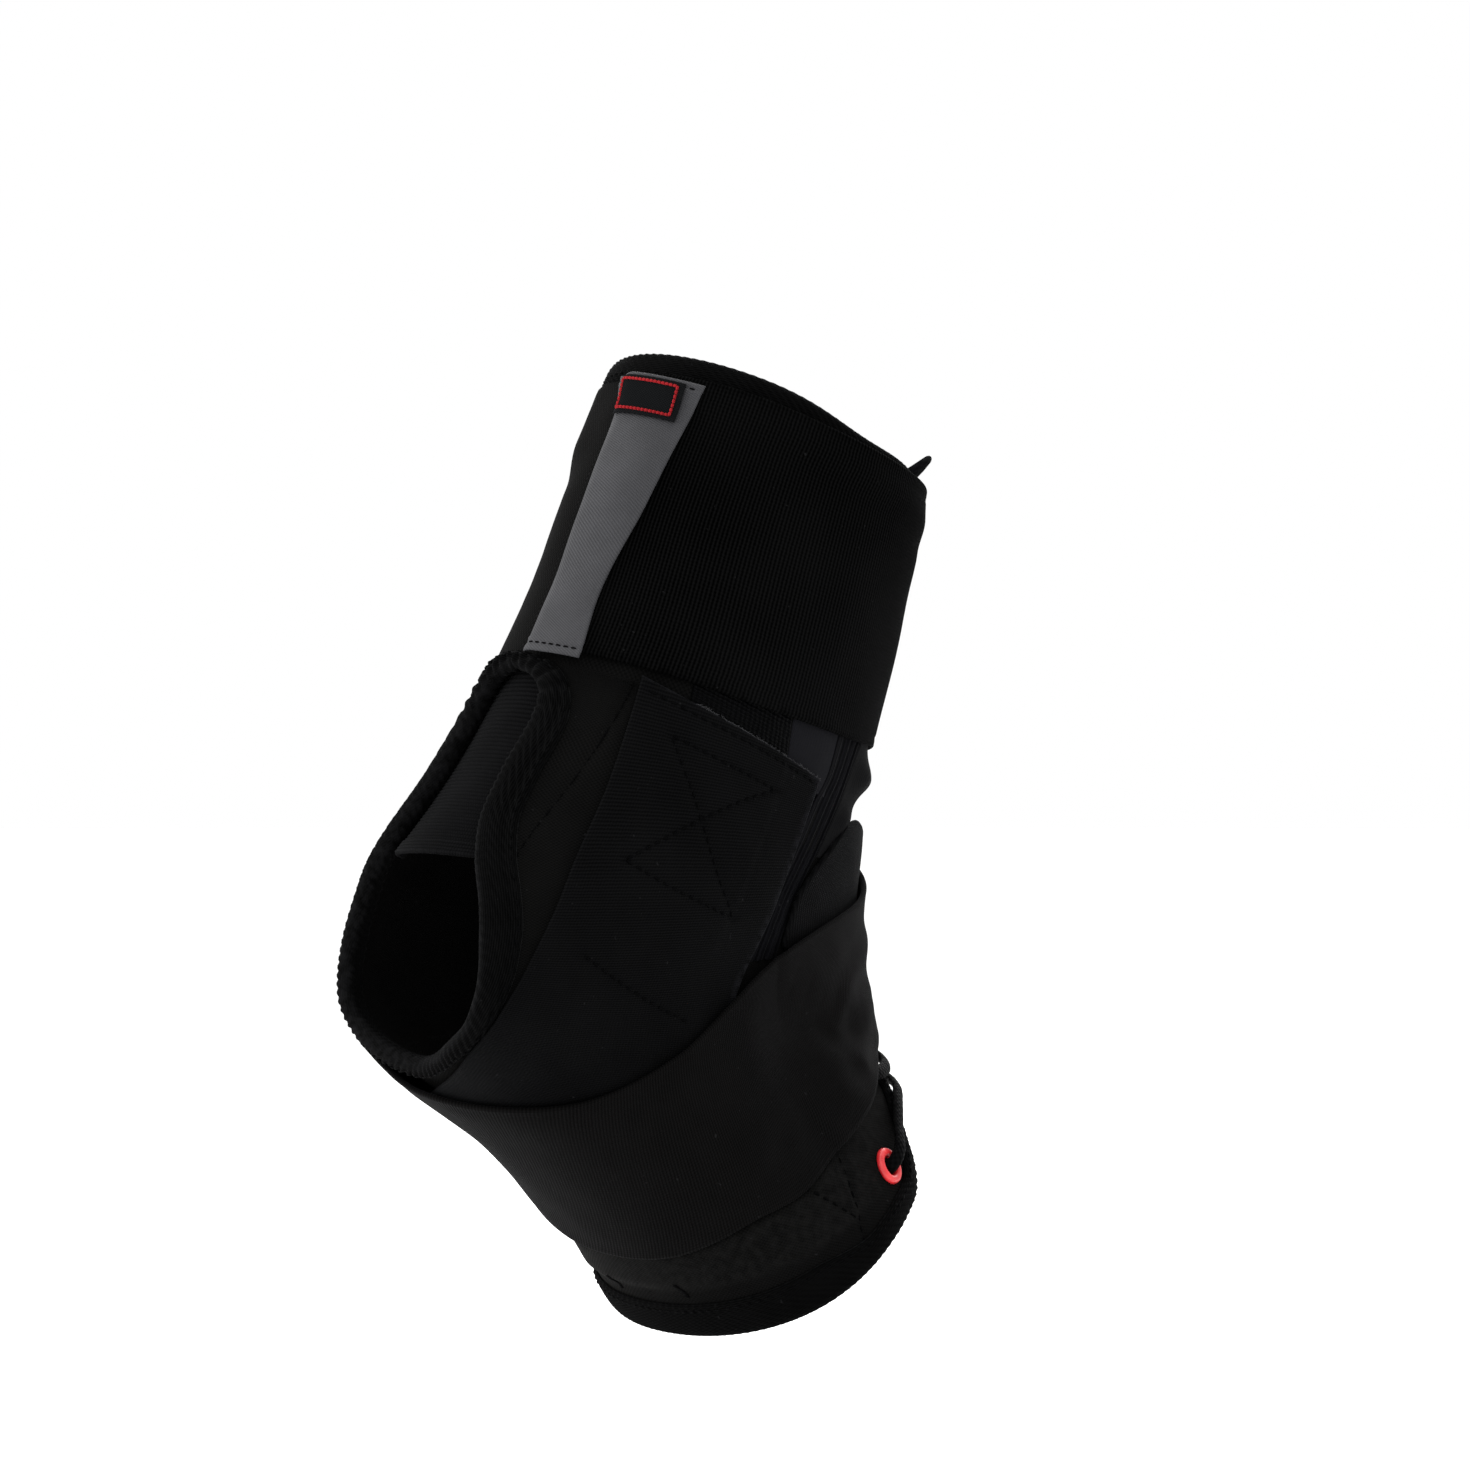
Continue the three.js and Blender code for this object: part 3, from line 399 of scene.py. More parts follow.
def cloth_arrays(place, length, width, wall, steps, worn=None, joined=None, rubbed=None):
    """Closed wall of cloth: place(u, v) gives the station, angle and outer height at shares along and
    across. The outer and inner faces stand apart by the wall times a quarter circle near the rim, and
    share the border. worn(u, v) says how strongly each part of the edge takes its edge tone, which is
    worn paler on most pieces and a painted dark shade on the cuff. joined(u) says where the first edge
    meets its neighbour and isn't rounded, and rubbed(u, v) how rubbed the face is."""
    rim = BORDER_ROUND * wall
    u, v = np.meshgrid(shares(length, steps[0], rim), shares(width, steps[1], rim), indexing="ij")
    station, angle, height = np.broadcast_arrays(*place(u, v))
    first = v if joined is None else np.where(joined(u), 1, v)
    inset = np.minimum(np.minimum(u, 1 - u) * length, np.minimum(first, 1 - v) * width)
    half = wall / 2 * np.sqrt(1 - (1 - np.clip(inset / rim, 0, 1)) ** 2)
    base, out = form(station, angle), slopes(station, angle)[2]
    outer = base + out * (height - wall / 2 + half)[..., None]
    inner = base + out * (height - wall / 2 - half)[..., None]
    numbers = np.arange(u.size).reshape(u.shape)
    inside = numbers.copy()
    inside[1:-1, 1:-1] = u.size + np.arange((u.shape[0] - 2) * (u.shape[1] - 2)).reshape(u.shape[0] - 2, -1)
    core = (slice(1, -1), slice(1, -1))
    points = np.concatenate((outer.reshape(-1, 3), inner[core].reshape(-1, 3)))
    quads = np.concatenate((grid_quads(numbers), grid_quads(inside)[:, ::-1]))
    flat = np.stack((u * length, v * width), -1)
    flat = np.concatenate((flat.reshape(-1, 2), flat[core].reshape(-1, 2)))
    edge = 1 - np.clip(inset / (WEAR_AND_SHADE_REACH * wall), 0, 1)
    edge = edge * (PLAIN_WEAR if worn is None else worn(u, v))
    if rubbed is not None:
        edge = np.maximum(edge, rubbed(u, v))
    edge = np.concatenate((edge.ravel(), edge[core].ravel()))
    return points, quads, flat, edge


def make_cloth(name, place, length, width, wall, steps, worn=None):
    """One piece of cloth as a closed wall, with its edge marked for its edge tone, which is worn paler on
    most pieces and a painted dark shade on the cuff.
    """
    return make_joined(name, [cloth_arrays(place, length, width, wall, steps, worn)])


def make_joined(name, parts):
    """Walls of cloth as one piece: their points, quads, UVs and edge marks are put end to end."""
    starts = np.cumsum([0] + [len(part[0]) for part in parts[:-1]])
    quads = np.concatenate([part[1] + start for part, start in zip(parts, starts)])
    points, flat, edge = (np.concatenate([part[k] for part in parts]) for k in (0, 2, 3))
    return make_piece(name, points, quads, flat, {"edge": edge})


# Lines on the near side, mirrored for the far side: station, angle
SIDE_SEAM = [(2.2, -46.5), (2.48, -45.7), (2.82, -43.7), (3.16, -41.3), (3.44, -39.7), (3.7, -39)]
STAY_SEAMS = [
    [(7.88, -90.6), (8.14, -87.8), (8.48, -83.4), (8.8, -79.0)],
    [(7.94, -69.8), (8.08, -72.2), (8.28, -75.8), (8.52, -79.8)],
]
STRAP_FOLDS = [
    [(4.7, -166), (4.9, -158), (5.32, -143), (5.98, -130.6), (6.3, -124)],
    [(5.8, -163), (5.98, -156), (6.36, -143.5), (6.88, -129), (7.1, -122)],
]


def shell_shares(station, angle):
    """The shares along and across the shell that lie at a station and an angle: the reverse of
    shell_place."""
    row = np.interp(station, SHELL_STATIONS, np.arange(len(SHELL_STATIONS)))
    hole = np.interp(row, np.arange(len(SHELL_STATIONS)), SHELL_HOLES)
    throat = np.interp(station, THROAT_EDGE[:, 0], THROAT_EDGE[:, 1])
    return row / (len(SHELL_STATIONS) - 1), (np.abs(angle) - hole) / (throat - hole)


def mirrored(rows, side):
    """Rows of station and angle on the near side (-1) or on the far side (1)."""
    return [(station, -side * angle) for station, angle in rows]


def shell_rows():
    """Stations of the shell's rows and the angle at which the heel opening ends on each: 0 above and
    below it."""
    station, angle, _ = columns(HEEL_EDGE, np.linspace(0, 1, SHELL_ROWS["opening"]))
    angle[[0, -1]] = 0
    above = np.linspace(0, HEEL_EDGE[0, 0], SHELL_ROWS["above"])[:-1]
    below = np.linspace(HEEL_EDGE[-1, 0], LAST_STATION, SHELL_ROWS["below"])[1:]
    stations = np.concatenate((above, station, below))
    holes = np.concatenate((above * 0, angle, below * 0))
    return stations, holes


SHELL_STATIONS, SHELL_HOLES = shell_rows()

# Where the straps' toe edges lie on the shell: angle, station
TOE_EDGE = np.array([(0, 8.15), (16, 8.2), (48, 8.09), (70, 8.06), (89, 7.9), (111, 7.68)])


def shell_joined(u):
    """Where the two sides of the shell meet: above and below the heel opening."""
    row = u * (len(SHELL_STATIONS) - 1)
    return np.interp(row, np.arange(len(SHELL_STATIONS)), SHELL_HOLES) <= 0


def shell_spot(u, v, side):
    """Station and angle on a side of the shell: rows go down the stations, and columns from the back or
    the heel opening to the throat."""
    row = u * (len(SHELL_STATIONS) - 1)
    station = np.interp(row, np.arange(len(SHELL_STATIONS)), SHELL_STATIONS)
    hole = np.interp(row, np.arange(len(SHELL_STATIONS)), SHELL_HOLES)
    throat = np.interp(station, THROAT_EDGE[:, 0], THROAT_EDGE[:, 1])
    angle = side * lerp(hole, throat, v)
    return station + rim_dip(angle) * (1 - smoothstep(station, 0, RIM_DIP["below"])), angle


def rim_dip(angle):
    """How many stations the top rim dips: a bell on each side, in front of the middle."""
    return RIM_DIP["stations"] * mound(np.abs(angle) - RIM_DIP["angle"], RIM_DIP["spread"])


def past_strap(station, angle):
    """1 on the shell between the strap's toe edge and the toe tape, with smooth ends, and 0 elsewhere."""
    past = station - np.interp(np.abs(angle), TOE_EDGE[:, 0], TOE_EDGE[:, 1])
    return smoothstep(past, *TOE_SWELL["start"]) * (1 - smoothstep(station, *TOE_SWELL["end"]))


def toe_swell(station, angle):
    """How far the shell swells past the strap: 1 under the sole and on the sides, and 0 near the throat."""
    return past_strap(station, angle) * (1 - smoothstep(np.abs(angle), *TOE_SWELL["side"]))


def shell_place(side):
    """A side of the shell. Seams sink in as bells, it swells to the strap's level between the strap and
    the toe tape, it stands off a little at the back of the far side below the rim, and soft ripples cover
    the rest."""
    def place(u, v):
        station, angle = shell_spot(u, v, side)
        points = form(station, angle)
        relief = waves(points, SHELL_WAVES)
        for line in (SIDE_SEAM, *STAY_SEAMS):
            away = nearest(points, trail(mirrored(line, side)))
            relief = relief - SEAM_SINK["depth"] * mound(away, SEAM_SINK["width"])
            relief = relief + SEAM_SINK["lip"] * mound(away - SEAM_SINK["lip_away"], SEAM_SINK["lip_width"])
        sole = mound(angle, TOE_SWELL["sole_spread"])
        relief = relief + toe_swell(station, angle) * (TOE_SWELL["rise"] + TOE_SWELL["sole_rise"] * sole)
        below_rim = smoothstep(station, *STAND_OFF["top"]) * (1 - smoothstep(station, *STAND_OFF["bottom"]))
        behind = mound(angle - STAND_OFF["angle"], STAND_OFF["spread"])
        relief = relief + STAND_OFF["rise"] * behind * below_rim
        return station, angle, SHELL_WALL + relief
    return place


def shell_rubbed(side):
    """How rubbed a side of the shell is: about half between the strap and the toe tape."""
    return lambda u, v: SHELL_RUB * past_strap(*shell_spot(u, v, side))


def strap_lines(u, v, mirror):
    """Station and angle on a strap: straight across between its heel edge and its toe edge, apart from
    its sewn start, which bows out as half a sine."""
    heel_angle, heel_station, toe_angle, toe_station = columns(STRAP, u)
    near_start = 1 - smoothstep(np.asarray(u) * STRAP_MAP, 0, STRAP_BOW["reach"])
    bow = STRAP_BOW["angle"] * np.sin(np.pi * np.asarray(v)) * near_start
    return lerp(heel_station, toe_station, v), mirror * (lerp(heel_angle, toe_angle, v) - bow)


def strap_footprint(mirror):
    """Points of the form under a whole strap, a few millimetres apart."""
    u, v = np.meshgrid(np.linspace(0, 1, 91), np.linspace(0, 1, 13), indexing="ij")
    return form(*strap_lines(u, v, mirror)).reshape(-1, 3)


INNER_FOOTPRINT = strap_footprint(-1)
EYELET_FEET = form(np.repeat(EYELETS[:, 0], 2), (EYELETS[:, 1:] * [-1, 1]).ravel())
HUMP_FEET = [(form(station, angle * np.array([-1, 1])), rise) for station, angle, rise in LACE_HUMPS]

# The crossed stitch lines near a strap's cut end, and a row below them: millimetres from the cut end and
# share across
BOX_STITCH = [
    [(10, 0.2), (13, 0.76)],
    [(41, 0.2), (53, 0.79)],
    [(10, 0.2), (53, 0.79)],
    [(13, 0.76), (41, 0.2)],
    [(68, 0.2), (90, 0.78)],
]
END_STITCH = [[(2.6, 0.04), (2.6, 0.97)]]


def strap_rows(lines):
    """Stitch lines given from the cut end, as shares along and across a strap."""
    return [[(1 - mm / STRAP_MAP, across) for mm, across in line] for line in lines]


def strap_place(mirror):
    """A strap: it lies on the shell, rises over the eyelets and the lace and, if it is the outer one,
    over the inner strap. It has soft ripples, two ridges near the front, a flush toe edge, a step where
    the double cloth near its cut end stops, and bells that sink along its stitches."""
    def place(u, v):
        station, angle = strap_lines(u, v, mirror)
        points = form(station, angle)
        eyelet_end = EYELET_RIM + STRAP_RISE["eyelet_fade"]
        over_eyelet = 1 - smoothstep(nearest(points, EYELET_FEET), EYELET_RIM, eyelet_end)
        rises = [STRAP_RISE["eyelet"] * over_eyelet]
        for feet, height in HUMP_FEET:
            rises.append(height * (1 - smoothstep(nearest(points, feet), *STRAP_RISE["lace_fade"])))
        rise = sum(height**4 for height in rises) ** 0.25
        if mirror > 0:
            over_inner = 1 - smoothstep(nearest(points, INNER_FOOTPRINT), *STRAP_RISE["overlap_fade"])
            rise = rise + STRAP_RISE["overlap"] * over_inner
        inset = np.minimum(v, 1 - v) * STRAP_WIDTH
        along = (1 - u) * STRAP_MAP
        relief = waves(points, STRAP_WAVES)
        for fold in STRAP_FOLDS:
            away = nearest(points, trail(mirrored(fold, -mirror)))
            relief = relief + STRAP_FOLD["rise"] * mound(away, STRAP_FOLD["width"])
            beside = mound(away - STRAP_FOLD["dip_away"], STRAP_FOLD["dip_width"])
            relief = relief - STRAP_FOLD["dip"] * beside
        relief = relief * smoothstep(inset, 0, STRAP_EDGE["calm"])
        relief = relief + STRAP_EDGE["bead"] * mound(inset, STRAP_EDGE["bead_width"])
        doubled = (1 - smoothstep(v, *DOUBLED["across"])) * (1 - smoothstep(along, *DOUBLED["along"]))
        relief = relief + DOUBLED["rise"] * doubled * smoothstep(along, 0, DOUBLED["start"])
        flat = np.stack(np.broadcast_arrays(along, v * STRAP_WIDTH), -1)
        for line in BOX_STITCH + END_STITCH:
            rows = np.array(line) * (1, STRAP_WIDTH)
            dots = lerp(rows[0], rows[1], np.linspace(0, 1, 50)[:, None])
            relief = relief - STITCH_SINK["depth"] * mound(nearest(flat, dots), STITCH_SINK["width"])
        flush = TOE_FLUSH["drop"] * smoothstep(v, *TOE_FLUSH["across"]) * (1 - smoothstep(rise, 0, 1))
        flush = flush * smoothstep(along, *TOE_FLUSH["along"])
        relief = np.maximum(relief, STITCH_SINK["deepest"])
        return station, angle, SHELL_WALL + STRAP_GAP + STRAP_WALL + rise - flush + relief
    return place


def strap_wear(u, v):
    """A strap's worn edges: its cut end, and its toe edge near that end, which shows a pale selvage."""
    along = (1 - u) * STRAP_MAP
    cut = STRAP_WORN["cut"] * mound(along, STRAP_WORN["cut_reach"])
    selvage = smoothstep(v, *STRAP_WORN["selvage"]) * (1 - smoothstep(along, *STRAP_WORN["selvage_end"]))
    return np.maximum(np.maximum(cut, selvage), STRAP_WORN["least"])


def whole_edge_shaded(u, v):
    """1 everywhere: the cuff's whole edge takes its edge tone, a painted dark shade all round it like the
    shadow under a hem.
    """
    return np.ones(u.shape)


def over_tape(station):
    """Height of the first layer over the shell: raised near the top rim, over the tape's outer leg."""
    share = 1 - smoothstep(station, *TAPE_STEP)
    return lerp(ON_SHELL, TAPE_CLEAR + LAYER_GAP, share)


def cuff_place(u, v):
    """The cuff: along it the angle goes round the leg, across it the station goes from its top to its
    bottom edge. Broad ripples, a soft bulge on each side of the front and a slightly tighter hem at both
    edges."""
    angle, top, bottom = columns(CUFF, u)
    station = lerp(top, bottom, v)
    points = form(station, angle)
    inset = np.minimum(v, 1 - v) * CUFF_WIDTH
    relief = waves(points, CUFF_WAVES) * smoothstep(inset, 0, CUFF_HEM["calm"])
    relief = relief - CUFF_HEM["sink"] * mound(inset - CUFF_HEM["away"], CUFF_HEM["width"])
    bulge = CUFF_BULGE["rise"] * mound(np.abs(angle + 180) - CUFF_BULGE["turn"], CUFF_BULGE["spread"])
    relief = relief + bulge * mound(station - CUFF_BULGE["station"], CUFF_BULGE["reach"])
    return station, angle, over_tape(station) + CUFF_WALL + relief


def over_cuff_end(station, angle):
    """Height of the label strip: it steps up from the shell on to the cuff's sewn end."""
    return over_tape(station) + smoothstep(-angle, *CUFF_END) * (CUFF_WALL + LAYER_GAP)


def strip_place(u, v):
    """The label strip: down the stations and across from its back edge to its front edge, with its ends
    folded under, which sink in along their stitches."""
    station, back, front = columns(STRIP, u)
    angle = lerp(back, front, v)
    inset = np.minimum(u, 1 - u) * STRIP_LENGTH
    points = form(station, angle)
    relief = waves(points, STRIP_WAVES) + STRIP_FOLD["rise"] * (1 - smoothstep(inset, *STRIP_FOLD["end"]))
    relief = relief - STRIP_FOLD["sink"] * mound(inset - STRIP_FOLD["stitch"], STRIP_FOLD["width"])
    return station, angle, over_cuff_end(station, angle) + LABEL_WALL + relief


def patch_place(u, v):
    """The patch near the strip's top, flat on the strip."""
    station = lerp(PATCH["top"], PATCH["bottom"], u)
    angle = lerp(PATCH["back"], PATCH["front"], v)
    return station, angle, over_cuff_end(station, angle) + LABEL_WALL + PATCH_GAP + PATCH_WALL


def knit_place(u, v):
    """The knit panel behind the tendon: horizontal ribs, a sine of the way down, and a thicker hem
    below."""
    across = 2 * v - 1
    bottom = KNIT["bottom"] - KNIT["arch"] * (1 - across * across)
    station = lerp(KNIT["top"], bottom, u)
    angle = across * lerp(KNIT["top_angle"], KNIT["bottom_angle"], u)
    length = KNIT_MAP[0]
    hem = smoothstep(u * length, length - KNIT_HEM["from"], length - KNIT_HEM["to"])
    ribs = KNIT_RIB["height"] * np.sin(2 * np.pi * u * length / KNIT_RIB["pitch"])
    ribs = ribs * (1 - KNIT_RIB["hem_share"] * hem)
    relief = ribs + KNIT_HEM["rise"] * hem + waves(form(station, angle), KNIT_WAVES)
    return station, angle, KNIT["outer"] + relief


def tongue_place(u, v):
    """The tongue: deep under the shell's edges, crowned between them, with a tab that bends out over the
    rim on the near side, and raised at its sides where it is sewn to the shell."""
    turn = (2 * v - 1) * TONGUE["spread"]
    top = TONGUE["top"] + TONGUE["slope"] * (turn / TONGUE["spread"]) ** 2
    top = top - TONGUE_TAB["height"] * mound(turn - TONGUE_TAB["turn"], TONGUE_TAB["width"])
    station = lerp(top, TONGUE["bottom"], u)
    crown = TONGUE["crown"] * np.maximum(0, 1 - (turn / TONGUE["crown_spread"]) ** 2)
    above = 1 - smoothstep(station, TONGUE["top"] - TONGUE_TAB["height"], TONGUE_TAB["below"])
    bent = TONGUE_TAB["rise"] * above * mound(turn - TONGUE_TAB["turn"], TONGUE_TAB["spread"])
    stretch = smoothstep(station, TONGUE_SEAM["from"] - TONGUE_SEAM["fade"], TONGUE_SEAM["from"])
    stretch = stretch * (1 - smoothstep(station, TONGUE_SEAM["to"], TONGUE_SEAM["to"] + TONGUE_SEAM["fade"]))
    sewn = stretch * smoothstep(np.abs(turn), TONGUE_SEAM["spread"], TONGUE["spread"])
    free = TONGUE["deep"] + crown + bent
    angle = 180 + turn
    relief = waves(form(station, angle), TONGUE_WAVES)
    return station, angle, lerp(free, -TONGUE_SEAM["gap"], sewn) + relief * (1 - sewn)


def evenly(points, step, closed):
    """Places along a path of points, as fractional row numbers, that lie an even step apart."""
    gaps = np.linalg.norm(np.diff(points, axis=0), axis=1)
    reach = np.concatenate(([0], np.cumsum(gaps)))
    count = round(reach[-1] / step)
    at = np.linspace(0, reach[-1], count + 1)
    if closed:
        at = at[:-1]
    return np.interp(at, reach, np.arange(len(points))), at


def tape_frame(route, turn, closed, step):
    """A tape's route at an even step: station, angle and width, the way along, and the steps in station and
    angle that go one millimetre from the edge into the shell."""
    dense = np.array(columns(route, np.linspace(0, 1, 1600))).T
    row, along = evenly(form(dense[:, 0], dense[:, 1]), step, closed)
    station, angle, width = at_rows(dense, row).T
    points = form(station, angle)
    if closed:
        tangent = unit(np.roll(points, -1, 0) - np.roll(points, 1, 0))
    else:
        tangent = unit(np.gradient(points, axis=0))
    down, around, out = slopes(station, angle)
    inwards = turn * np.cross(out, tangent)
    a, b, c = (down * down).sum(-1), (down * around).sum(-1), (around * around).sum(-1)
    d, e = (inwards * down).sum(-1), (inwards * around).sum(-1)
    whole = a * c - b * b
    return station, angle, width, along, (d * c - e * b) / whole, (e * a - d * b) / whole


def tape_profile(width, count):
    """A folded tape's closed profile: depth from the edge and height, for tapes of some widths. The outer
    leg is crowned and has a count of points, the nose is half an ellipse round the edge, and the inner
    leg is flat."""
    share = np.linspace(0, 1, count)
    nose_start, crown, side = TAPE_FOLD["nose_start"], TAPE_FOLD["crown"], TAPE_TOP - TAPE_FOLD["crown"]
    outer_depth = width[:, None] * (1 - share) + nose_start * share
    lip = TAPE_FOLD["lip"] * mound(width[:, None] * share, TAPE_FOLD["lip_width"])
    outer_height = side + crown * np.sin(np.pi * share) ** 0.5 - lip
    bend = np.linspace(np.pi / 2, -np.pi / 2, 11)[1:-1]
    middle, half = (side + TAPE_UNDER) / 2, (side - TAPE_UNDER) / 2
    nose = [(nose_start - TAPE_FOLD["nose"] * math.cos(t), middle + half * math.sin(t)) for t in bend]
    rest = np.array(nose + [(depth, TAPE_UNDER) for depth in TAPE_INNER] + TAPE_BACK)
    rest = np.broadcast_to(rest, (len(width), *rest.shape))
    tuck = np.stack((width - TAPE_TUCK["inset"], np.full(len(width), TAPE_TUCK["height"])), -1)[:, None]
    outer = np.stack((outer_depth, outer_height), -1)
    seen = count - 1 + len(nose) + len(TAPE_INNER)
    shown = np.array([0.0] + [1.0] * seen + [0.0] * (len(TAPE_BACK) + 1))
    return np.concatenate((outer, rest, tuck), 1), shown


def plain_ribs(along, way_round, width):
    """Slanting ribs on a tape of any width: a sine of the way round plus most of the way along."""
    return PLAIN_RIB["height"] * np.sin(2 * np.pi * (PLAIN_RIB["slant"] * along + way_round) / TAPE_RIB)


def top_ribs(along, way_round, width):
    """The plain ribs, slanting the other way."""
    return plain_ribs(-along, way_round, width)


def heel_ribs(along, way_round, width):
    """Ribs of the heel tape, two sines: steep ones on its outer leg that wander along it, and on its nose
    ones across it like a rope's. A groove runs along the outer leg, and puckers cross the tape at the
    opening's top."""
    outer = smoothstep(width - way_round, 0.5, 2.5)
    wander = HEEL_RIB["wander"] * np.sin(along / HEEL_RIB["wander_length"])
    steep = 2 * np.pi * (HEEL_RIB["steep_slant"] * along + way_round) / HEEL_RIB["steep_pitch"]
    rope = 2 * np.pi * (along + HEEL_RIB["rope_slant"] * way_round) / HEEL_RIB["rope_pitch"]
    groove = mound(way_round / width - HEEL_RIB["groove_at"], HEEL_RIB["groove_width"])
    ribs = HEEL_RIB["height"] * lerp(np.sin(rope), np.sin(steep + wander), outer)
    ribs = ribs - HEEL_RIB["groove"] * outer * groove
    from_top = np.minimum(along, along.max() - along)
    sway = HEEL_PUCKER["wander"] * np.sin(along / HEEL_PUCKER["wander_length"])
    puckers = np.sin(2 * np.pi * along / HEEL_PUCKER["pitch"] + sway)
    return ribs + HEEL_PUCKER["height"] * (puckers * (1 - smoothstep(from_top, *HEEL_PUCKER["fade"])))


def make_tape(name, route, turn, closed, ribs, step=0.4, count=15):
    """A tape folded round the shell's edge: its profile is carried along the route, and ribs(along,
    way_round, width) adds to its height."""
    station, angle, width, along, go_station, go_angle = tape_frame(route, turn, closed, step)
    profile, shown = tape_profile(width, count)
    depth = profile[..., 0]
    gaps = np.linalg.norm(np.diff(profile, axis=1), axis=-1)
    way_round = np.concatenate((np.zeros((len(width), 1)), np.cumsum(gaps, 1)), 1)
    way_along = np.broadcast_to(along[:, None], depth.shape)
    height = profile[..., 1] + ribs(way_along, way_round, width[:, None]) * shown
    points = skin(
        station[:, None] + go_station[:, None] * depth, angle[:, None] + go_angle[:, None] * depth, height
    )
    numbers = ring_numbers(*depth.shape, closed)
    quads = grid_quads(numbers)
    if not closed:
        quads = close_ends(quads, numbers)
    flat = np.stack((way_along, way_round), -1)
    edge = mound(depth - TAPE_WORN["depth"], TAPE_WORN["reach"])
    return make_piece(name, points, quads, flat, {"edge": edge})


def close_ends(quads, numbers):
    """The quads of a tube with both ends closed: each end ring is folded shut by quads between its
    halves."""
    count = numbers.shape[1] - 1
    half = count // 2
    first = np.arange(half - 1)
    caps = []
    for ring, flip in ((numbers[0], False), (numbers[-1], True)):
        left, right = ring[first], ring[count - 1 - first]
        next_left, next_right = ring[first + 1], ring[count - 2 - first]
        cap = np.stack((left, right, next_right, next_left), -1)
        caps.append(cap[:, ::-1] if flip else cap)
    return np.concatenate((quads, *caps))


def top_route():
    """The top rim from the near throat edge round the back to the far one."""
    angle = np.linspace(-TOP_TAPE["angle"], TOP_TAPE["angle"], 60)
    return np.stack((rim_dip(angle), angle, np.full(60, TOP_TAPE["width"])), -1)


def heel_route():
    """Down the near edge of the heel opening and up the far edge, as a loop."""
    near = HEEL_EDGE * (1, -1, 1)
    return np.concatenate((near, HEEL_EDGE[-2::-1]))


def toe_route():
    """Down the near throat edge, along the toe rim and up the far throat edge, wide under the sole."""
    station = np.array([7.5, 7.8, 8.1, 8.35, 8.6, 8.75, 8.86, 8.94])
    angle = np.interp(station, THROAT_EDGE[:, 0], THROAT_EDGE[:, 1])
    near = np.stack((station, -angle, np.full(len(station), TOE_TAPE["width"])), -1)
    rim = np.linspace(-THROAT_EDGE[-1, 1], THROAT_EDGE[-1, 1], 23)
    width = lerp(TOE_TAPE["sole_width"], TOE_TAPE["width"], smoothstep(np.abs(rim), *TOE_TAPE["sole"]))
    middle = np.stack((np.full(len(rim), LAST_STATION), rim, width), -1)
    return np.concatenate((near, middle, near[::-1] * (1, -1, 1)))


def tape_line(route, turn, closed, depth_of, height, pitch):
    """Stitches along a tape, at a depth from its edge that depends on its width."""
    station, angle, width, _, go_station, go_angle = tape_frame(route, turn, closed, pitch)
    depth = depth_of(width)
    return line_run(station + go_station * depth, angle + go_angle * depth, height)


def line_run(station, angle, height):
    """Points at a height on a line of the form, the directions along it, and outwards."""
    points = skin(station, angle, height)
    return points, unit(np.gradient(points, axis=0)), slopes(station, angle)[2]


def seam(place, corners, pitch=2.9):
    """Stitches along straight runs between (u, v) corners on a piece's outer face, evenly spaced by the
    distance along the run."""
    share = np.linspace(0, len(corners) - 1, 300)
    u, v = at_rows(np.array(corners, float), share).T
    station, angle, height = np.broadcast_arrays(*place(u, v))
    points = skin(station, angle, height)
    row, _ = evenly(points, pitch, False)
    row = (row[:-1] + row[1:]) / 2
    along, out = (at_rows(rows, row) for rows in (np.gradient(points, axis=0), slopes(station, angle)[2]))
    return at_rows(points, row), unit(along), unit(out)


def make_threads(name, runs):
    """Many short threads: each is a six-sided tube whose middle bows out of the cloth and whose ends dip
    in."""
    length, thickness = THREADS[name]
    middle, along, out = (np.concatenate([run[k] for run in runs]) for k in range(3))
    side = np.cross(along, out)
    place = np.array([-1, -0.86, -0.45, 0.45, 0.86, 1])
    swell = np.array([0.35, 0.8, 1, 1, 0.8, 0.35])
    bow = np.array([-0.8, -0.2, 0.25, 0.25, -0.2, -0.8])
    turn = np.arange(6) * np.pi / 3
    radius = thickness / 2
    centre = middle[:, None] + along[:, None] * (place * length / 2)[:, None]
    centre = centre + out[:, None] * (bow * thickness)[:, None]
    ring = out[:, None, None] * np.cos(turn)[:, None] + side[:, None, None] * np.sin(turn)[:, None]
    points = centre[:, :, None] + ring * (swell * radius)[:, None, None]
    caps = np.array([(0, 1, 2, 3), (0, 3, 4, 5), (33, 32, 31, 30), (35, 34, 33, 30)])
    shape = np.concatenate((grid_quads(ring_numbers(6, 6)), caps))[:, ::-1]
    quads = (np.arange(len(middle))[:, None, None] * 36 + shape).reshape(-1, 4)
    flat = np.stack(np.broadcast_arrays((place * length / 2)[None, :, None], turn * radius), -1)
    flat = np.broadcast_to(flat, (len(middle), 6, 6, 2))
    return make_piece(name, points, quads, flat)


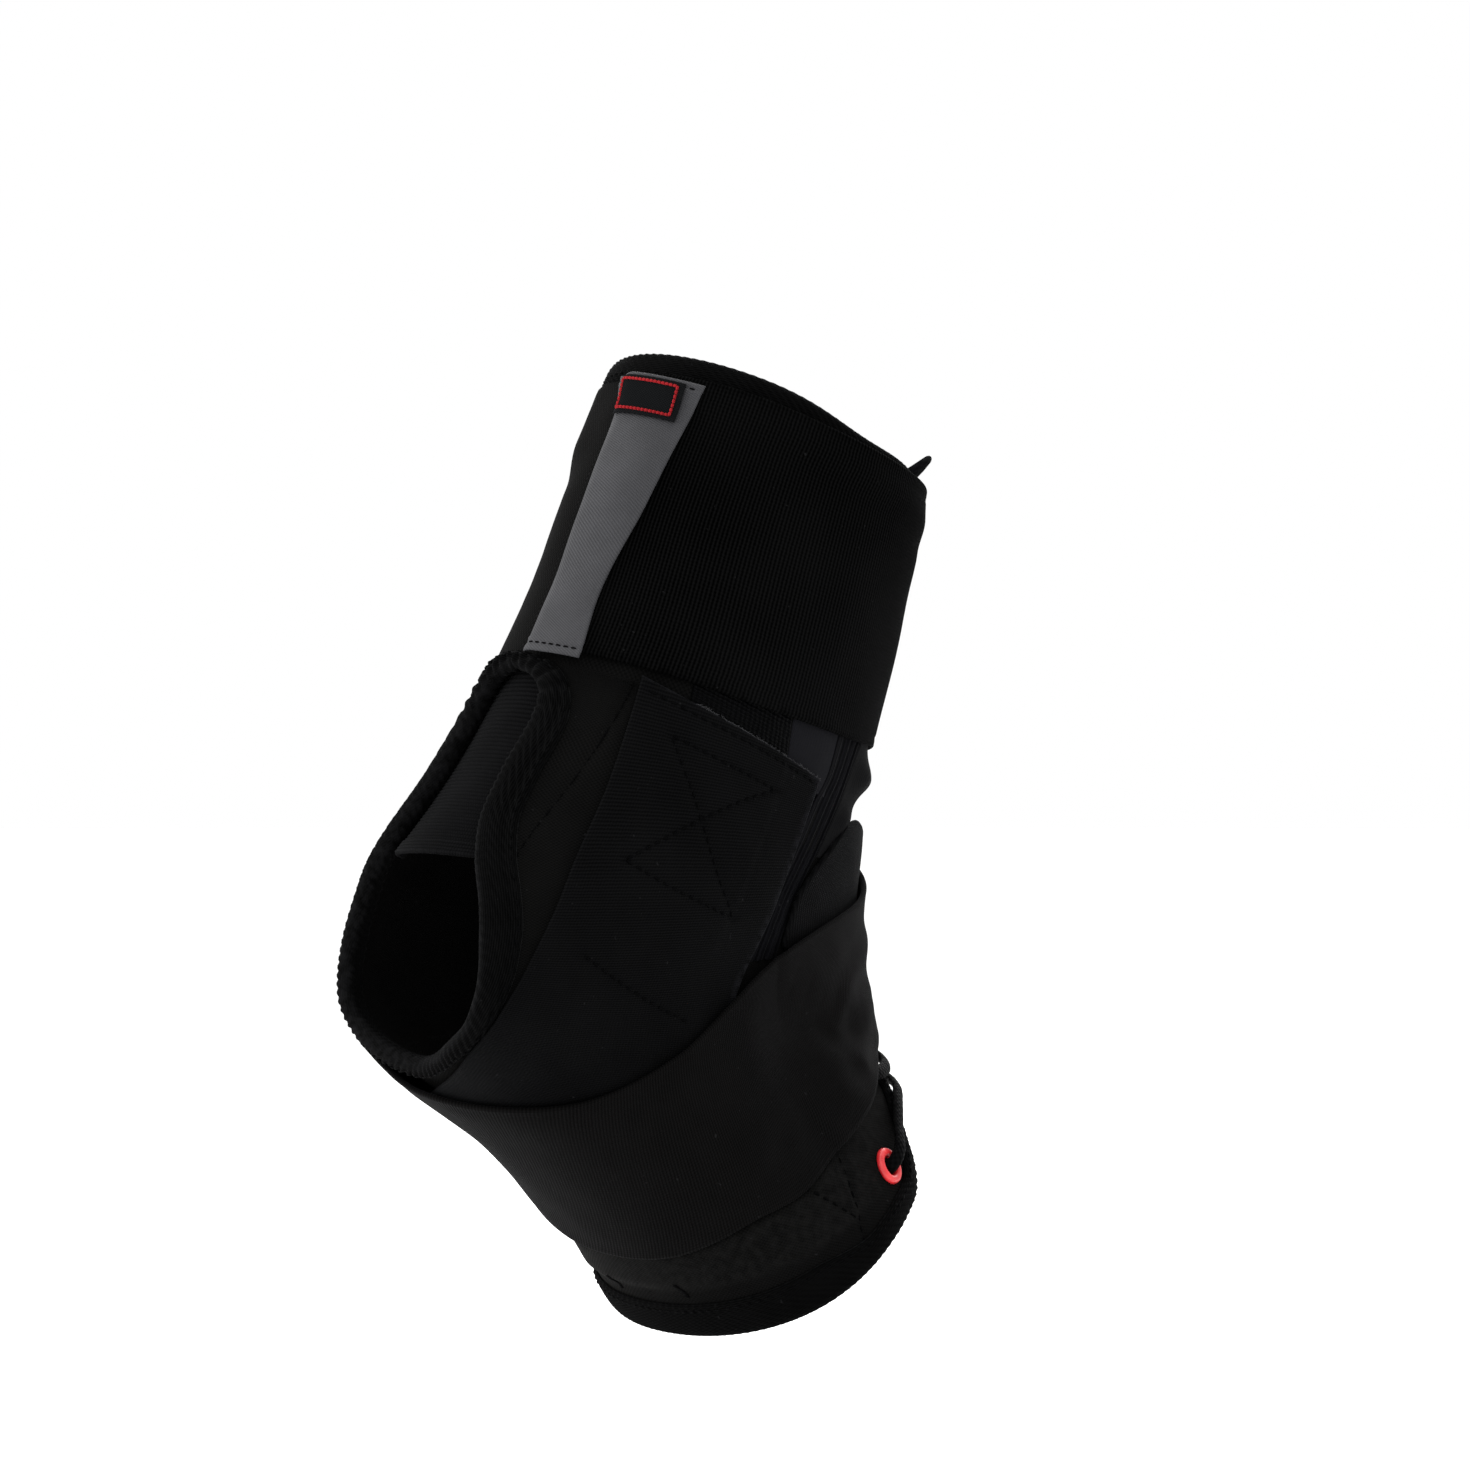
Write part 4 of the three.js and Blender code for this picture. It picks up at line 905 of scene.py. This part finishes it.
def make_eyelet(name, station, angle):
    """An eyelet: a rounded profile of radius and height turned about the outward direction of the form."""
    top = EYELET_SEAT + EYELET_RISE
    mid, half = (EYELET_BORE + EYELET_RIM) / 2, (EYELET_RIM - EYELET_BORE) / 2
    bend = np.linspace(0, np.pi, 15)
    foot, edge = EYELET_ROUND["foot"], EYELET_SEAT - EYELET_ROUND["rim_drop"]
    inner, outer = EYELET_BORE + EYELET_ROUND["foot_inset"], EYELET_RIM - EYELET_ROUND["rim_inset"]
    radius = np.concatenate(([inner, outer], mid + half * np.cos(bend), [EYELET_BORE]))
    crown = EYELET_SEAT + (top - EYELET_SEAT) * np.sin(bend) ** EYELET_ROUND["power"]
    height = np.concatenate(([foot, edge], crown, [foot]))
    down, _, out = slopes(np.array(station), np.array(angle))
    first = unit(down)
    second = np.cross(out, first)
    turn = np.linspace(0, 2 * np.pi, 49)[:-1]
    ring = first * np.cos(turn)[:, None] + second * np.sin(turn)[:, None]
    points = form(station, angle) + ring[:, None] * radius[:, None] + out * height[:, None]
    quads = grid_quads(ring_numbers(*points.shape[:2], True))
    flat = np.stack(np.meshgrid(turn * mid, np.arange(len(radius)), indexing="ij"), -1)
    return make_piece(name, points, quads, flat)


def lace_path(count):
    """The lace's middle line: a centripetal Catmull-Rom curve through the far half and then the near
    half, and the form's outward direction along it."""
    station, angle, near, far = LACE.T
    stations = np.concatenate((station[:0:-1], station))
    angles = np.concatenate((angle[:0:-1], -angle))
    points = skin(stations, angles, np.concatenate((far[:0:-1], near)))
    outwards = slopes(stations, angles)[2]
    padded = np.concatenate(([2 * points[0] - points[1]], points, [2 * points[-1] - points[-2]]))
    place = np.linspace(0, len(points) - 1, count)
    row = np.clip(place.astype(int), 0, len(points) - 2)
    t = (place - row)[:, None]
    a, b, c, d = (padded[row + k] for k in range(4))
    gap = [np.sqrt(np.linalg.norm(p - q, axis=1, keepdims=True)) for p, q in ((b, a), (c, b), (d, c))]
    start = ((b - a) / gap[0] - (c - a) / (gap[0] + gap[1]) + (c - b) / gap[1]) * gap[1]
    end = ((c - b) / gap[1] - (d - b) / (gap[1] + gap[2]) + (d - c) / gap[2]) * gap[1]
    curve = b + start * t + (3 * (c - b) - 2 * start - end) * t**2 + (2 * (b - c) + start + end) * t**3
    return curve, unit(lerp(outwards[row], outwards[row + 1], t))


def make_lace(name):
    """The lace: a flat oval carried along its path. Its flat side is carried on from ring to ring and eased
    towards the form, so that it lies flat and doesn't twist where it goes through an eyelet."""
    rough, rough_out = lace_path(LACE_CARRY["rough"])
    row, along = evenly(rough, LACE_CARRY["step"], False)
    path, out = at_rows(rough, row), at_rows(rough_out, row)
    tangent = unit(np.gradient(path, axis=0))
    flat_way = np.cross(tangent, out)
    wide = np.empty_like(path)
    carried = unit(flat_way[0])
    for i, (ahead, way) in enumerate(zip(tangent, flat_way)):
        carried = carried + LACE_CARRY["ease"] * np.sign(carried @ way) * way * (way @ way)
        carried = carried - (carried @ ahead) * ahead
        carried = carried / np.linalg.norm(carried)
        wide[i] = carried
    thick = np.cross(wide, tangent)
    turn = np.linspace(0, 2 * np.pi, 17)[:-1]
    cosine, sine = np.cos(turn), np.sin(turn)
    across = np.sign(cosine) * np.abs(cosine) ** LACE_OVAL["power"] * LACE_WIDTH / 2
    up = np.sign(sine) * np.abs(sine) ** LACE_OVAL["power"] * LACE_THICKNESS / 2
    braid = 2 * np.pi * along[:, None] / LACE_OVAL["braid_pitch"]
    weave = 1 + LACE_OVAL["braid"] * np.sin(braid + 2 * turn) * np.sin(braid - 2 * turn)
    points = path[:, None] + wide[:, None] * (across * weave)[..., None]
    points = points + thick[:, None] * (up * weave)[..., None]
    numbers = ring_numbers(*points.shape[:2])
    flat = np.stack(np.meshgrid(along, turn * LACE_OVAL["map_radius"], indexing="ij"), -1)
    return make_piece(name, points, close_ends(grid_quads(numbers), numbers), flat)


# Scale of a wave texture whose lines are one unit apart
WAVE_UNIT = 0.314159


class Finish:
    """A material and short ways to add its nodes. Patterns on cloth read the piece's own map, in
    millimetres."""

    def __init__(self, name):
        self.material = bpy.data.materials.new(name)
        self.material.use_nodes = True
        self.nodes = self.material.node_tree.nodes
        self.links = self.material.node_tree.links
        self.shader = self.nodes["Principled BSDF"]
        self.cloth = self.node("UVMap", uv_map="cloth").outputs["UV"]
        self.object = self.node("TexCoord").outputs["Object"]

    def node(self, kind, inputs=None, **settings):
        """A new node, with its settings and its inputs set or linked."""
        node = self.nodes.new("ShaderNode" + kind)
        for key, value in settings.items():
            setattr(node, key, value)
        for socket, value in (inputs or {}).items():
            if isinstance(value, bpy.types.NodeSocket):
                self.links.new(value, node.inputs[socket])
            else:
                node.inputs[socket].default_value = value
        return node

    def sum(self, first, second, how="ADD"):
        """Two values joined by one sum."""
        return self.node("Math", {0: first, 1: second}, operation=how).outputs[0]

    def bands(self, pitch, turn=0.0, wobble=0.0):
        """Lines across the cloth, a pitch in millimetres apart, turned by some degrees and wobbled."""
        mapped = self.node("Mapping", {"Vector": self.cloth, "Rotation": (0, 0, math.radians(turn))})
        inputs = {
            "Vector": mapped.outputs["Vector"], "Scale": WAVE_UNIT / pitch, "Distortion": wobble,
            "Detail": 2.0, "Detail Scale": 1.5,
        }
        return self.node("TexWave", inputs, wave_type="BANDS").outputs["Fac"]

    def noise(self, size, detail=3.0, rough=0.55):
        """Cloudy noise on the object, with features of about a size in millimetres."""
        inputs = {"Vector": self.object, "Scale": 1 / (size * MM), "Detail": detail, "Roughness": rough}
        return self.node("TexNoise", inputs).outputs["Fac"]

    def span(self, value, low, high, start=0.0, end=1.0):
        """A value carried from one range to another and held at its ends."""
        inputs = {"Value": value, "From Min": low, "From Max": high, "To Min": start, "To Max": end}
        return self.node("MapRange", inputs).outputs["Result"]

    def mix(self, share, first, second):
        """Two colours mixed by a share."""
        node = self.node("Mix", {0: share}, data_type="RGBA")
        for socket, value in ((6, first), (7, second)):
            if isinstance(value, bpy.types.NodeSocket):
                self.links.new(value, node.inputs[socket])
            else:
                node.inputs[socket].default_value = (*value, 1)
        return node.outputs[2]

    def edge(self):
        """The mark of a piece's edge: 1 on the border and 0 further in."""
        return self.node("Attribute", attribute_name="edge", attribute_type="GEOMETRY").outputs["Fac"]

    def done(self, colour, roughness, height, depth, sheen, sheen_tint=(1, 1, 1), specular=0.3):
        """Links colour, roughness and bump to the shader, and sets its sheen. depth is the bump's, in
        mm."""
        self.links.new(colour, self.shader.inputs["Base Color"])
        if isinstance(roughness, bpy.types.NodeSocket):
            self.links.new(roughness, self.shader.inputs["Roughness"])
        else:
            self.shader.inputs["Roughness"].default_value = roughness
        bump = self.node("Bump", {"Height": height, "Strength": 1.0, "Distance": depth * MM})
        self.links.new(bump.outputs["Normal"], self.shader.inputs["Normal"])
        self.shader.inputs["Sheen Weight"].default_value = sheen
        self.shader.inputs["Sheen Roughness"].default_value = 0.35
        self.shader.inputs["Sheen Tint"].default_value = (*sheen_tint, 1)
        self.shader.inputs["Specular IOR Level"].default_value = specular
        return self.material


# Weight of a cloth's fine grain in its height
GRAIN = 0.35


def lint(finish, colour):
    """A colour with the odd pale speck of lint and a soft change of shade."""
    specks = finish.span(finish.noise(1.1, 0.0), 0.84, 0.9)
    return finish.mix(finish.sum(specks, 0.3, "MULTIPLY"), colour, (0.02, 0.02, 0.021))


def woven(name, dark, light, lines, wear_and_edge_shade, depth, sheen, tint, roughness=0.85, cloud=18, specular=0.02):
    """A black cloth: lines of (pitch, turn, wobble, weight) and fine grain make its height. Its colour
    follows that height, as painted shade in the weave's grooves and painted light on its crowns, and
    broad clouds of tone. Its edges take their edge tone: worn paler on most cloths, a painted dark shade
    on the cuff."""
    finish = Finish(name)
    height = finish.sum(finish.noise(0.5, 2.0), GRAIN, "MULTIPLY")
    for pitch, turn, wobble, weight in lines:
        height = finish.sum(height, finish.sum(finish.bands(pitch, turn, wobble), weight, "MULTIPLY"))
    total = GRAIN + sum(line[3] for line in lines)
    # Painted light and shade: the colour runs from dark in the weave's grooves to light on its crowns.
    share = finish.sum(finish.span(height, 0.15 * total, 0.85 * total), 0.75, "MULTIPLY")
    share = finish.sum(share, finish.span(finish.noise(cloud), 0.3, 0.7, -0.1, 0.25))
    colour = finish.mix(share, dark, light)
    # Edge tone mixed in along the edge mark: worn paler on most cloths, a painted dark shade on the cuff.
    rubbed = finish.sum(finish.edge(), finish.span(finish.noise(2.2), 0.35, 0.65), "MULTIPLY")
    colour = finish.mix(finish.sum(rubbed, 0.6, "MULTIPLY"), colour, wear_and_edge_shade)
    rough = finish.span(height, 0.2 * total, 0.9 * total, roughness + 0.1, roughness - 0.08)
    return finish.done(lint(finish, colour), rough, height, depth, sheen, tint, specular)


def make_finishes():
    """All finishes of the brace, by name."""
    finishes = {
        "shell": woven(
            "shell_fabric", (0.0012, 0.0012, 0.0012), (0.0038, 0.0037, 0.0036),
            [(0.7, 40, 1.5, 0.5), (0.7, -40, 1.5, 0.4)],
            (0.009, 0.0088, 0.0085), 0.10, 0.010, (1, 0.97, 0.94),
        ),
        "tongue": woven(
            "tongue_fabric", (0.0014, 0.0014, 0.0016), (0.0036, 0.0036, 0.004),
            [(0.9, 45, 0.5, 0.4), (0.9, -45, 0.5, 0.4)], (0.008, 0.008, 0.009), 0.08, 0.010, (0.95, 0.97, 1),
        ),
        "knit": woven(
            "tendon_knit", (0.0004, 0.0004, 0.0005), (0.0034, 0.0034, 0.0037),
            [(1.15, 0, 0.4, 0.8), (0.8, 90, 1.0, 0.4)], (0.012, 0.012, 0.013), 0.12, 0.012, (0.95, 0.97, 1),
        ),
        "tape": woven(
            "binding_tape", (0.0002, 0.0002, 0.0002), (0.0028, 0.0028, 0.0029),
            [(0.55, 90, 0.6, 0.5)], (0.007, 0.007, 0.0075), 0.06, 0.010, (0.96, 0.98, 1),
        ),
        "strap": woven(
            "strap_webbing", (0.0009, 0.0009, 0.001), (0.0034, 0.0034, 0.0036),
            [(0.85, 10, 1.2, 0.8), (0.62, 90, 1.5, 0.35)], (0.016, 0.016, 0.019), 0.12, 0.010, (0.9, 0.94, 1),
        ),
        "warm_strap": woven(
            "crossing_webbing", (0.0011, 0.001, 0.001), (0.0042, 0.004, 0.004),
            [(0.85, 10, 1.2, 0.8), (0.62, 90, 1.5, 0.35)],
            (0.012, 0.0115, 0.0115), 0.12, 0.014, (0.94, 0.95, 1),
        ),
        # Painted light and shade: the cuff's ribs go nearly black in their grooves and pale on their crowns,
        # and its edge tone is a near-black painted shade along every edge.
        "cuff": woven(
            "cuff_elastic", (0.0001, 0.0001, 0.0001), (0.0044, 0.0044, 0.0045),
            [(0.84, 0, 0.7, 1.0), (0.95, 90, 2.5, 0.25), (1.17, 40, 0.6, 0.12)],
            (0.0002, 0.0002, 0.0002), 0.16, 0.004, (0.95, 0.97, 1),
            cloud=60, specular=0.005,
        ),
        "label": woven(
            "label_twill", (0.017, 0.017, 0.019), (0.037, 0.037, 0.0405),
            [(0.6, 28, 0.5, 0.8), (0.45, 90, 0.8, 0.3)], (0.06, 0.06, 0.064), 0.06, 0.012, (1, 1, 1),
            roughness=0.6, cloud=9, specular=0.2,
        ),
        "patch": woven(
            "patch_weave", (0.0022, 0.0024, 0.0026), (0.006, 0.0064, 0.007),
            [(0.5, 45, 0.3, 0.6), (0.5, -45, 0.3, 0.6)], (0.012, 0.012, 0.013), 0.06, 0.010, (1, 1, 1),
        ),
        "hook": woven(
            "hook_tape", (0.0002, 0.0002, 0.0003), (0.0022, 0.0022, 0.0025),
            [(1.1, 0, 2.5, 0.6), (1.1, 90, 2.5, 0.6)], (0.004, 0.004, 0.0045), 0.4, 0.004, (1, 1, 1),
            roughness=0.6,
        ),
        "lining": woven(
            "smooth_lining", (0.004, 0.004, 0.0049), (0.008, 0.008, 0.0096),
            [(0.5, 60, 0.4, 0.4)], (0.012, 0.012, 0.014), 0.04, 0.012, (0.92, 0.95, 1), roughness=0.7,
        ),
        "band": woven(
            "grooved_band", (0.0005, 0.0005, 0.0007), (0.004, 0.004, 0.0049),
            [(1.3, 90, 1.5, 0.8), (0.7, 90, 2.0, 0.4)], (0.006, 0.006, 0.0072), 0.1, 0.010, (0.92, 0.95, 1),
        ),
        "flap": woven(
            "flap_fabric", (0.0024, 0.0024, 0.0026), (0.006, 0.006, 0.0064),
            [(0.6, 45, 0.6, 0.4)], (0.008, 0.008, 0.009), 0.05, 0.010, (0.95, 0.97, 1),
        ),
        # Black cord, its colour painted darker still as painted shade for the shadow it lies in.
        "lace": woven(
            "lace_cord", (0.0003, 0.0003, 0.0004), (0.0022, 0.0022, 0.0024),
            [(1.1, 48, 0.2, 0.7), (1.1, -48, 0.2, 0.7)], (0.005, 0.005, 0.005), 0.12, 0.008, (1, 1, 1),
            roughness=0.7,
        ),
        "thread": woven(
            "black_thread", (0.0004, 0.0004, 0.0005), (0.0018, 0.0018, 0.002),
            [(0.35, 40, 0.0, 1.0)], (0.002, 0.002, 0.002), 0.05, 0.004, (1, 1, 1), roughness=0.7,
        ),
        "red_thread": woven(
            "red_thread", (0.16, 0.006, 0.009), (0.4, 0.02, 0.024),
            [(0.35, 40, 0.0, 1.0)], (0.4, 0.03, 0.03), 0.05, 0.03, (1, 0.8, 0.8), roughness=0.5,
        ),
        "fuzz": woven(
            "cut_fibre", (0.012, 0.012, 0.013), (0.05, 0.05, 0.053),
            [(0.5, 0, 0.0, 0.5)], (0.04, 0.04, 0.04), 0.02, 0.02, (1, 1, 1), roughness=0.7,
        ),
    }
    enamel = Finish("eyelet_enamel")
    scuffs = enamel.noise(1.6, 4.0, 0.7)
    red = enamel.mix(enamel.span(enamel.noise(3.5), 0.3, 0.7), (0.48, 0.013, 0.018), (0.66, 0.026, 0.03))
    worn = enamel.mix(enamel.span(scuffs, 0.66, 0.72), red, (0.32, 0.08, 0.07))
    rough = enamel.span(scuffs, 0.3, 0.75, 0.22, 0.5)
    finishes["enamel"] = enamel.done(worn, rough, scuffs, 0.02, 0.0, specular=0.5)
    return finishes


FINISHES = make_finishes()


def dress(piece, finish, slot, *nodes):
    """Gives a piece its finish and its place in the frame, and hides the solids that it stands for."""
    piece.data.materials.append(FINISHES[finish])
    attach(piece, "root")
    if nodes:
        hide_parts(*nodes)
    return piece


# Layers on the shell beside a strap's cut end, on the near side: rows of station and angle down the left
# edge and down the right edge
HOOK = ([(1.95, -62), (2.3, -64)], [(1.95, -96.5), (2.42, -99.5)])
LINING = (
    [(1.85, -97), (2.28, -99), (2.6, -101)],
    [(1.85, -121.5), (2.32, -120.4), (2.6, -119.5)],
)
GROOVES = (
    [
        (1.75, -120.2), (2.32, -118.8), (2.7, -114.5), (3.16, -112), (3.5, -110.8), (3.86, -109.6),
        (4.36, -107.5), (4.8, -104.5),
    ],
    [
        (1.75, -140), (2.14, -134.2), (2.58, -129), (2.98, -124.6), (3.36, -121.8), (3.78, -119.4),
        (4.4, -116.6), (4.8, -114.5),
    ],
)
FLAP = (
    [(1.75, -140), (2.14, -133.8), (2.58, -128.6), (3.0, -124.4), (3.3, -122)],
    [(1.75, -160), (2.2, -152), (2.6, -139), (2.95, -131), (3.3, -124)],
)


def layer_place(corners, side, height):
    """A layer between the splines through its left rows and its right rows, straight across, at a height
    that depends on the share across and the station."""
    left, right = (np.array(mirrored(rows, side), float) for rows in corners)

    def place(u, v):
        left_station, left_angle = columns(left, u)
        right_station, right_angle = columns(right, u)
        station, angle = lerp(left_station, right_station, v), lerp(left_angle, right_angle, v)
        return station, angle, height(v, station)
    return place


def make_layer(name, finish, corners, height, size, wall, steps):
    """A layer on the near side and its mirror on the far side, as one piece."""
    sides = [cloth_arrays(layer_place(corners, side, height), *size, wall, steps) for side in (-1, 1)]
    return dress(make_joined(name, sides), finish, "shell_fabric")


def make_layers():
    """Hook tape, smooth lining, grooved band and front flap, which show between the cuff and the straps."""
    thin, thick = 0.7, 1.1
    make_layer("hook_tape", "hook", HOOK, lambda v, s: 2.7, (16, 24), thin, (0.6, 0.6))
    make_layer("smooth_lining", "lining", LINING, lining_height, (25, 14), thin, (0.6, 0.6))
    make_layer("grooved_band", "band", GROOVES, groove_height, (84, 9), thin, (0.8, 0.2))
    make_layer("front_flap", "flap", FLAP, flap_height, (48, 9), thick, (0.8, 0.5))


def lining_height(v, station):
    """Height of the lining: half a sine across it."""
    return 2.5 + 0.25 * np.sin(np.pi * v)


def groove_height(v, station):
    """Height of the grooved band: a cosine whose grooves lie closer towards the front."""
    return 2.55 + 0.22 * np.cos(7 * np.pi * v**1.5)


def flap_height(v, station):
    """Height of the front flap: two bells along it, which grow towards its free edge."""
    bells = 2.8 * mound(station - 2.12, 0.2) + 1.6 * mound(station - 2.8, 0.2)
    return 2.8 + smoothstep(v, 0, 0.7) * bells


def make_fabrics():
    """The brace's own pieces, each in place of its solid."""
    sides = [
        cloth_arrays(
            shell_place(side), *SHELL_MAP, SHELL_WALL, (1.1, 1.4), None, shell_joined, shell_rubbed(side)
        )
        for side in (-1, 1)
    ]
    dress(make_joined("shell_sides", sides), "shell", "shell_fabric", "shell")
    tongue = make_cloth("padded_tongue", tongue_place, *TONGUE_MAP, TONGUE_WALL, (2.2, 2.0))
    dress(tongue, "tongue", "tongue_fabric", "tongue")
    knit = make_cloth("tendon_panel", knit_place, *KNIT_MAP, KNIT_WALL, (0.26, 1.2))
    dress(knit, "knit", "tendon_knit", "achilles_panel")
    top = make_tape("top_tape", top_route(), 1, False, top_ribs)
    dress(top, "tape", "binding_tape", "binding_top")
    heel = make_tape("heel_tape", heel_route(), 1, True, heel_ribs, 0.32, 29)
    dress(heel, "tape", "binding_tape", "binding_heel")
    toe = make_tape("toe_tape", toe_route(), -1, False, plain_ribs)
    dress(toe, "tape", "binding_tape", "binding_toe")
    straps = (("under_strap", "strap_inner", -1, "strap"), ("over_strap", "strap_outer", 1, "warm_strap"))
    for name, node, mirror, finish in straps:
        size = (STRAP_MAP, STRAP_WIDTH, STRAP_WALL)
        strap = make_cloth(name, strap_place(mirror), *size, (0.8, 0.8), strap_wear)
        dress(strap, finish, "strap_webbing", node)
    cuff = make_cloth("elastic_cuff", cuff_place, CUFF_LENGTH, CUFF_WIDTH, CUFF_WALL, (1.2, 1.2), whole_edge_shaded)
    dress(cuff, "cuff", "cuff_elastic", "cuff")
    strip = make_cloth("grey_strip", strip_place, STRIP_LENGTH, STRIP_WIDTH, LABEL_WALL, (0.5, 0.6))
    dress(strip, "label", "label_twill", "label_strip")
    patch = make_cloth("plain_patch", patch_place, *PATCH_MAP, PATCH_WALL, (0.4, 0.4))
    dress(patch, "patch", "patch_weave", "label_patch")
    for row, (station, angle) in enumerate(EYELETS, 1):
        for side, name in ((-1, "near"), (1, "far")):
            ring = make_eyelet(f"red_ring_{name}_{row}", station, side * angle)
            dress(ring, "enamel", "eyelet_enamel", f"eyelet_{name}_{row}")
    dress(make_lace("flat_lace"), "lace", "lace_cord", "lace")


def make_stitches():
    """Stitch lines and the loose fibres of the cut ends."""
    straps = [strap_place(mirror) for mirror in (-1, 1)]
    runs = [seam(place, line) for place in straps for line in strap_rows(BOX_STITCH + END_STITCH)]
    dress(make_threads("strap_stitches", runs), "thread", "strap_webbing")
    fuzz = [fibres(place, seed) for seed, place in enumerate(straps, 61)]
    dress(make_threads("cut_end_fibres", fuzz), "fuzz", "strap_webbing")
    tapes = [
        tape_line(top_route(), 1, False, lambda width: width - 1.3, TAPE_TOP - 0.05, 3.0),
        tape_line(heel_route(), 1, True, lambda width: width - 1.2, TAPE_TOP, 3.0),
        tape_line(toe_route(), -1, False, lambda width: width - 1.4, TAPE_TOP - 0.05, 3.0),
    ]
    dress(make_threads("tape_stitches", tapes), "thread", "binding_tape")
    end = STRIP_FOLD["stitch"] / STRIP_LENGTH
    ends = [end, 1 - end]
    strip = [seam(strip_place, [(end, 0.06), (end, 0.94)], 2.4) for end in ends]
    dress(make_threads("strip_stitches", strip), "thread", "label_twill")
    left, low = 0.13, 0.085
    right, high = 1 - left, 1 - low
    edging = [seam(patch_place, [(left, low), (left, high), (right, high), (right, low), (left, low)], 1.15)]
    dress(make_threads("patch_edging", edging), "red_thread", "patch_weave")
    stays = [seam_line(line, side, 2.8) for side in (-1, 1) for line in STAY_SEAMS]
    stays = stays + [tack(side) for side in (-1, 1)]
    dress(make_threads("shell_stitches", stays), "thread", "shell_fabric")
    sides = [seam_line(SIDE_SEAM, side, 2.0) for side in (-1, 1)]
    dress(make_threads("side_seams", sides), "thread", "shell_fabric")
    cuff_ends = [seam(cuff_place, [(end, 0.03), (end, 0.97)], 3.0) for end in (0.988, 0.97)]
    dress(make_threads("cuff_stitches", cuff_ends), "thread", "cuff_elastic")


def seam_line(line, side, pitch):
    """Stitches a pitch apart along a seam of the shell, on one side."""
    station, angle = columns(np.array(mirrored(line, side), float), np.linspace(0, 1, 200))
    row, _ = evenly(form(station, angle), pitch, False)
    station, angle = at_rows(np.stack((station, angle), -1), row).T
    return line_run(station, angle, shell_place(side)(*shell_shares(station, angle))[2] + 0.1)


def tack(side):
    """A bar of close stitches across the sole just behind the toe tape, on one side."""
    station = np.linspace(*TACK["stations"], TACK["count"])
    angle = np.full(TACK["count"], TACK["angle"] * side)
    _, around, out = slopes(station, angle)
    return skin(station, angle, shell_place(side)(*shell_shares(station, angle))[2]), unit(around), out


def fibres(place, seed):
    """Loose fibres on a strap's cut end: short threads that mostly follow the edge, in seeded
    directions."""
    chance = np.random.default_rng(seed)
    count = FIBRES["count"]
    across = 1 - FIBRES["cover"] * chance.uniform(0, 1, count) ** FIBRES["crowd"]
    station, angle, height = np.broadcast_arrays(*place(np.ones(count), across))
    down, around, out = slopes(station, angle)
    along = unit(around) + unit(down) * chance.normal(0, FIBRES["lean"], (count, 1))
    along = along + out * chance.normal(0, FIBRES["lift"], (count, 1))
    points = skin(station, angle, height - FIBRES["sunk"] + chance.uniform(*FIBRES["spread"], count))
    return points, unit(along), out


def make_stage():
    """A pale floor, a white surround, soft lights, and the camera at the photograph's angle."""
    turn = np.linspace(0, 2 * np.pi, 65)
    radius = np.array(FLOOR["radii"])[:, None] / MM
    level = np.full((len(radius), len(turn)), FLOOR["height"])
    points = np.stack((radius * np.cos(turn), radius * np.sin(turn), level), -1)
    quads = grid_quads(np.arange(level.size).reshape(level.shape))
    floor = make_piece("floor", points, quads, points[..., :2])
    paint = Finish("pale_floor")
    shade = paint.mix(paint.span(paint.noise(400), 0.3, 0.7), (0.86, 0.86, 0.86), (0.9, 0.9, 0.9))
    paint.shader.inputs["Emission Color"].default_value = (1, 1, 1, 1)
    paint.shader.inputs["Emission Strength"].default_value = FLOOR["glow"]
    floor.data.materials.append(paint.done(shade, 0.7, paint.noise(2.0), 0.01, 0.0))
    world = bpy.data.worlds.new("white_surround")
    world.use_nodes = True
    world.node_tree.nodes["Background"].inputs["Color"].default_value = (1, 1, 1, 1)
    world.node_tree.nodes["Background"].inputs["Strength"].default_value = 1.0
    scene = bpy.context.scene
    scene.world = world
    scene.view_settings.view_transform = "Standard"
    lamps = {
        "left_rear": ((-0.9, 0.7, 0.5), 0.9, 13), "right_rear": ((0.9, 0.7, 0.6), 0.9, 11),
        "front": ((-0.6, -1.3, 0.9), 1.2, 7), "above": ((0.1, 0.0, 1.3), 1.0, 8),
    }
    for name, (place, size, power) in lamps.items():
        light = bpy.data.lights.new(name, "AREA")
        light.size = size
        light.energy = power
        lamp = bpy.data.objects.new(name, light)
        lamp.location = place
        ahead = -np.array(place) / np.linalg.norm(place)
        lamp.rotation_euler = (math.acos(-ahead[2]), 0, math.atan2(ahead[1], ahead[0]) - math.pi / 2)
        scene.collection.objects.link(lamp)
    azimuth = math.radians(PHOTO_CAMERA["azimuth"])
    right = np.array((math.cos(azimuth), -math.sin(azimuth), 0))
    ahead = np.array((math.sin(azimuth), math.cos(azimuth), 0))
    eye = right * PHOTO_CAMERA["right"] + np.array((0, 0, PHOTO_CAMERA["up"])) - ahead * PHOTO_CAMERA["away"]
    lens = bpy.data.cameras.new("photo_view")
    lens.lens = PHOTO_CAMERA["lens"]
    lens.sensor_width = PHOTO_CAMERA["sensor"]
    camera = bpy.data.objects.new("photo_view", lens)
    camera.location = eye * MM
    camera.rotation_euler = (math.pi / 2, 0, -azimuth)
    scene.collection.objects.link(camera)
    scene.camera = camera


make_fabrics()
make_layers()
make_stitches()
make_stage()
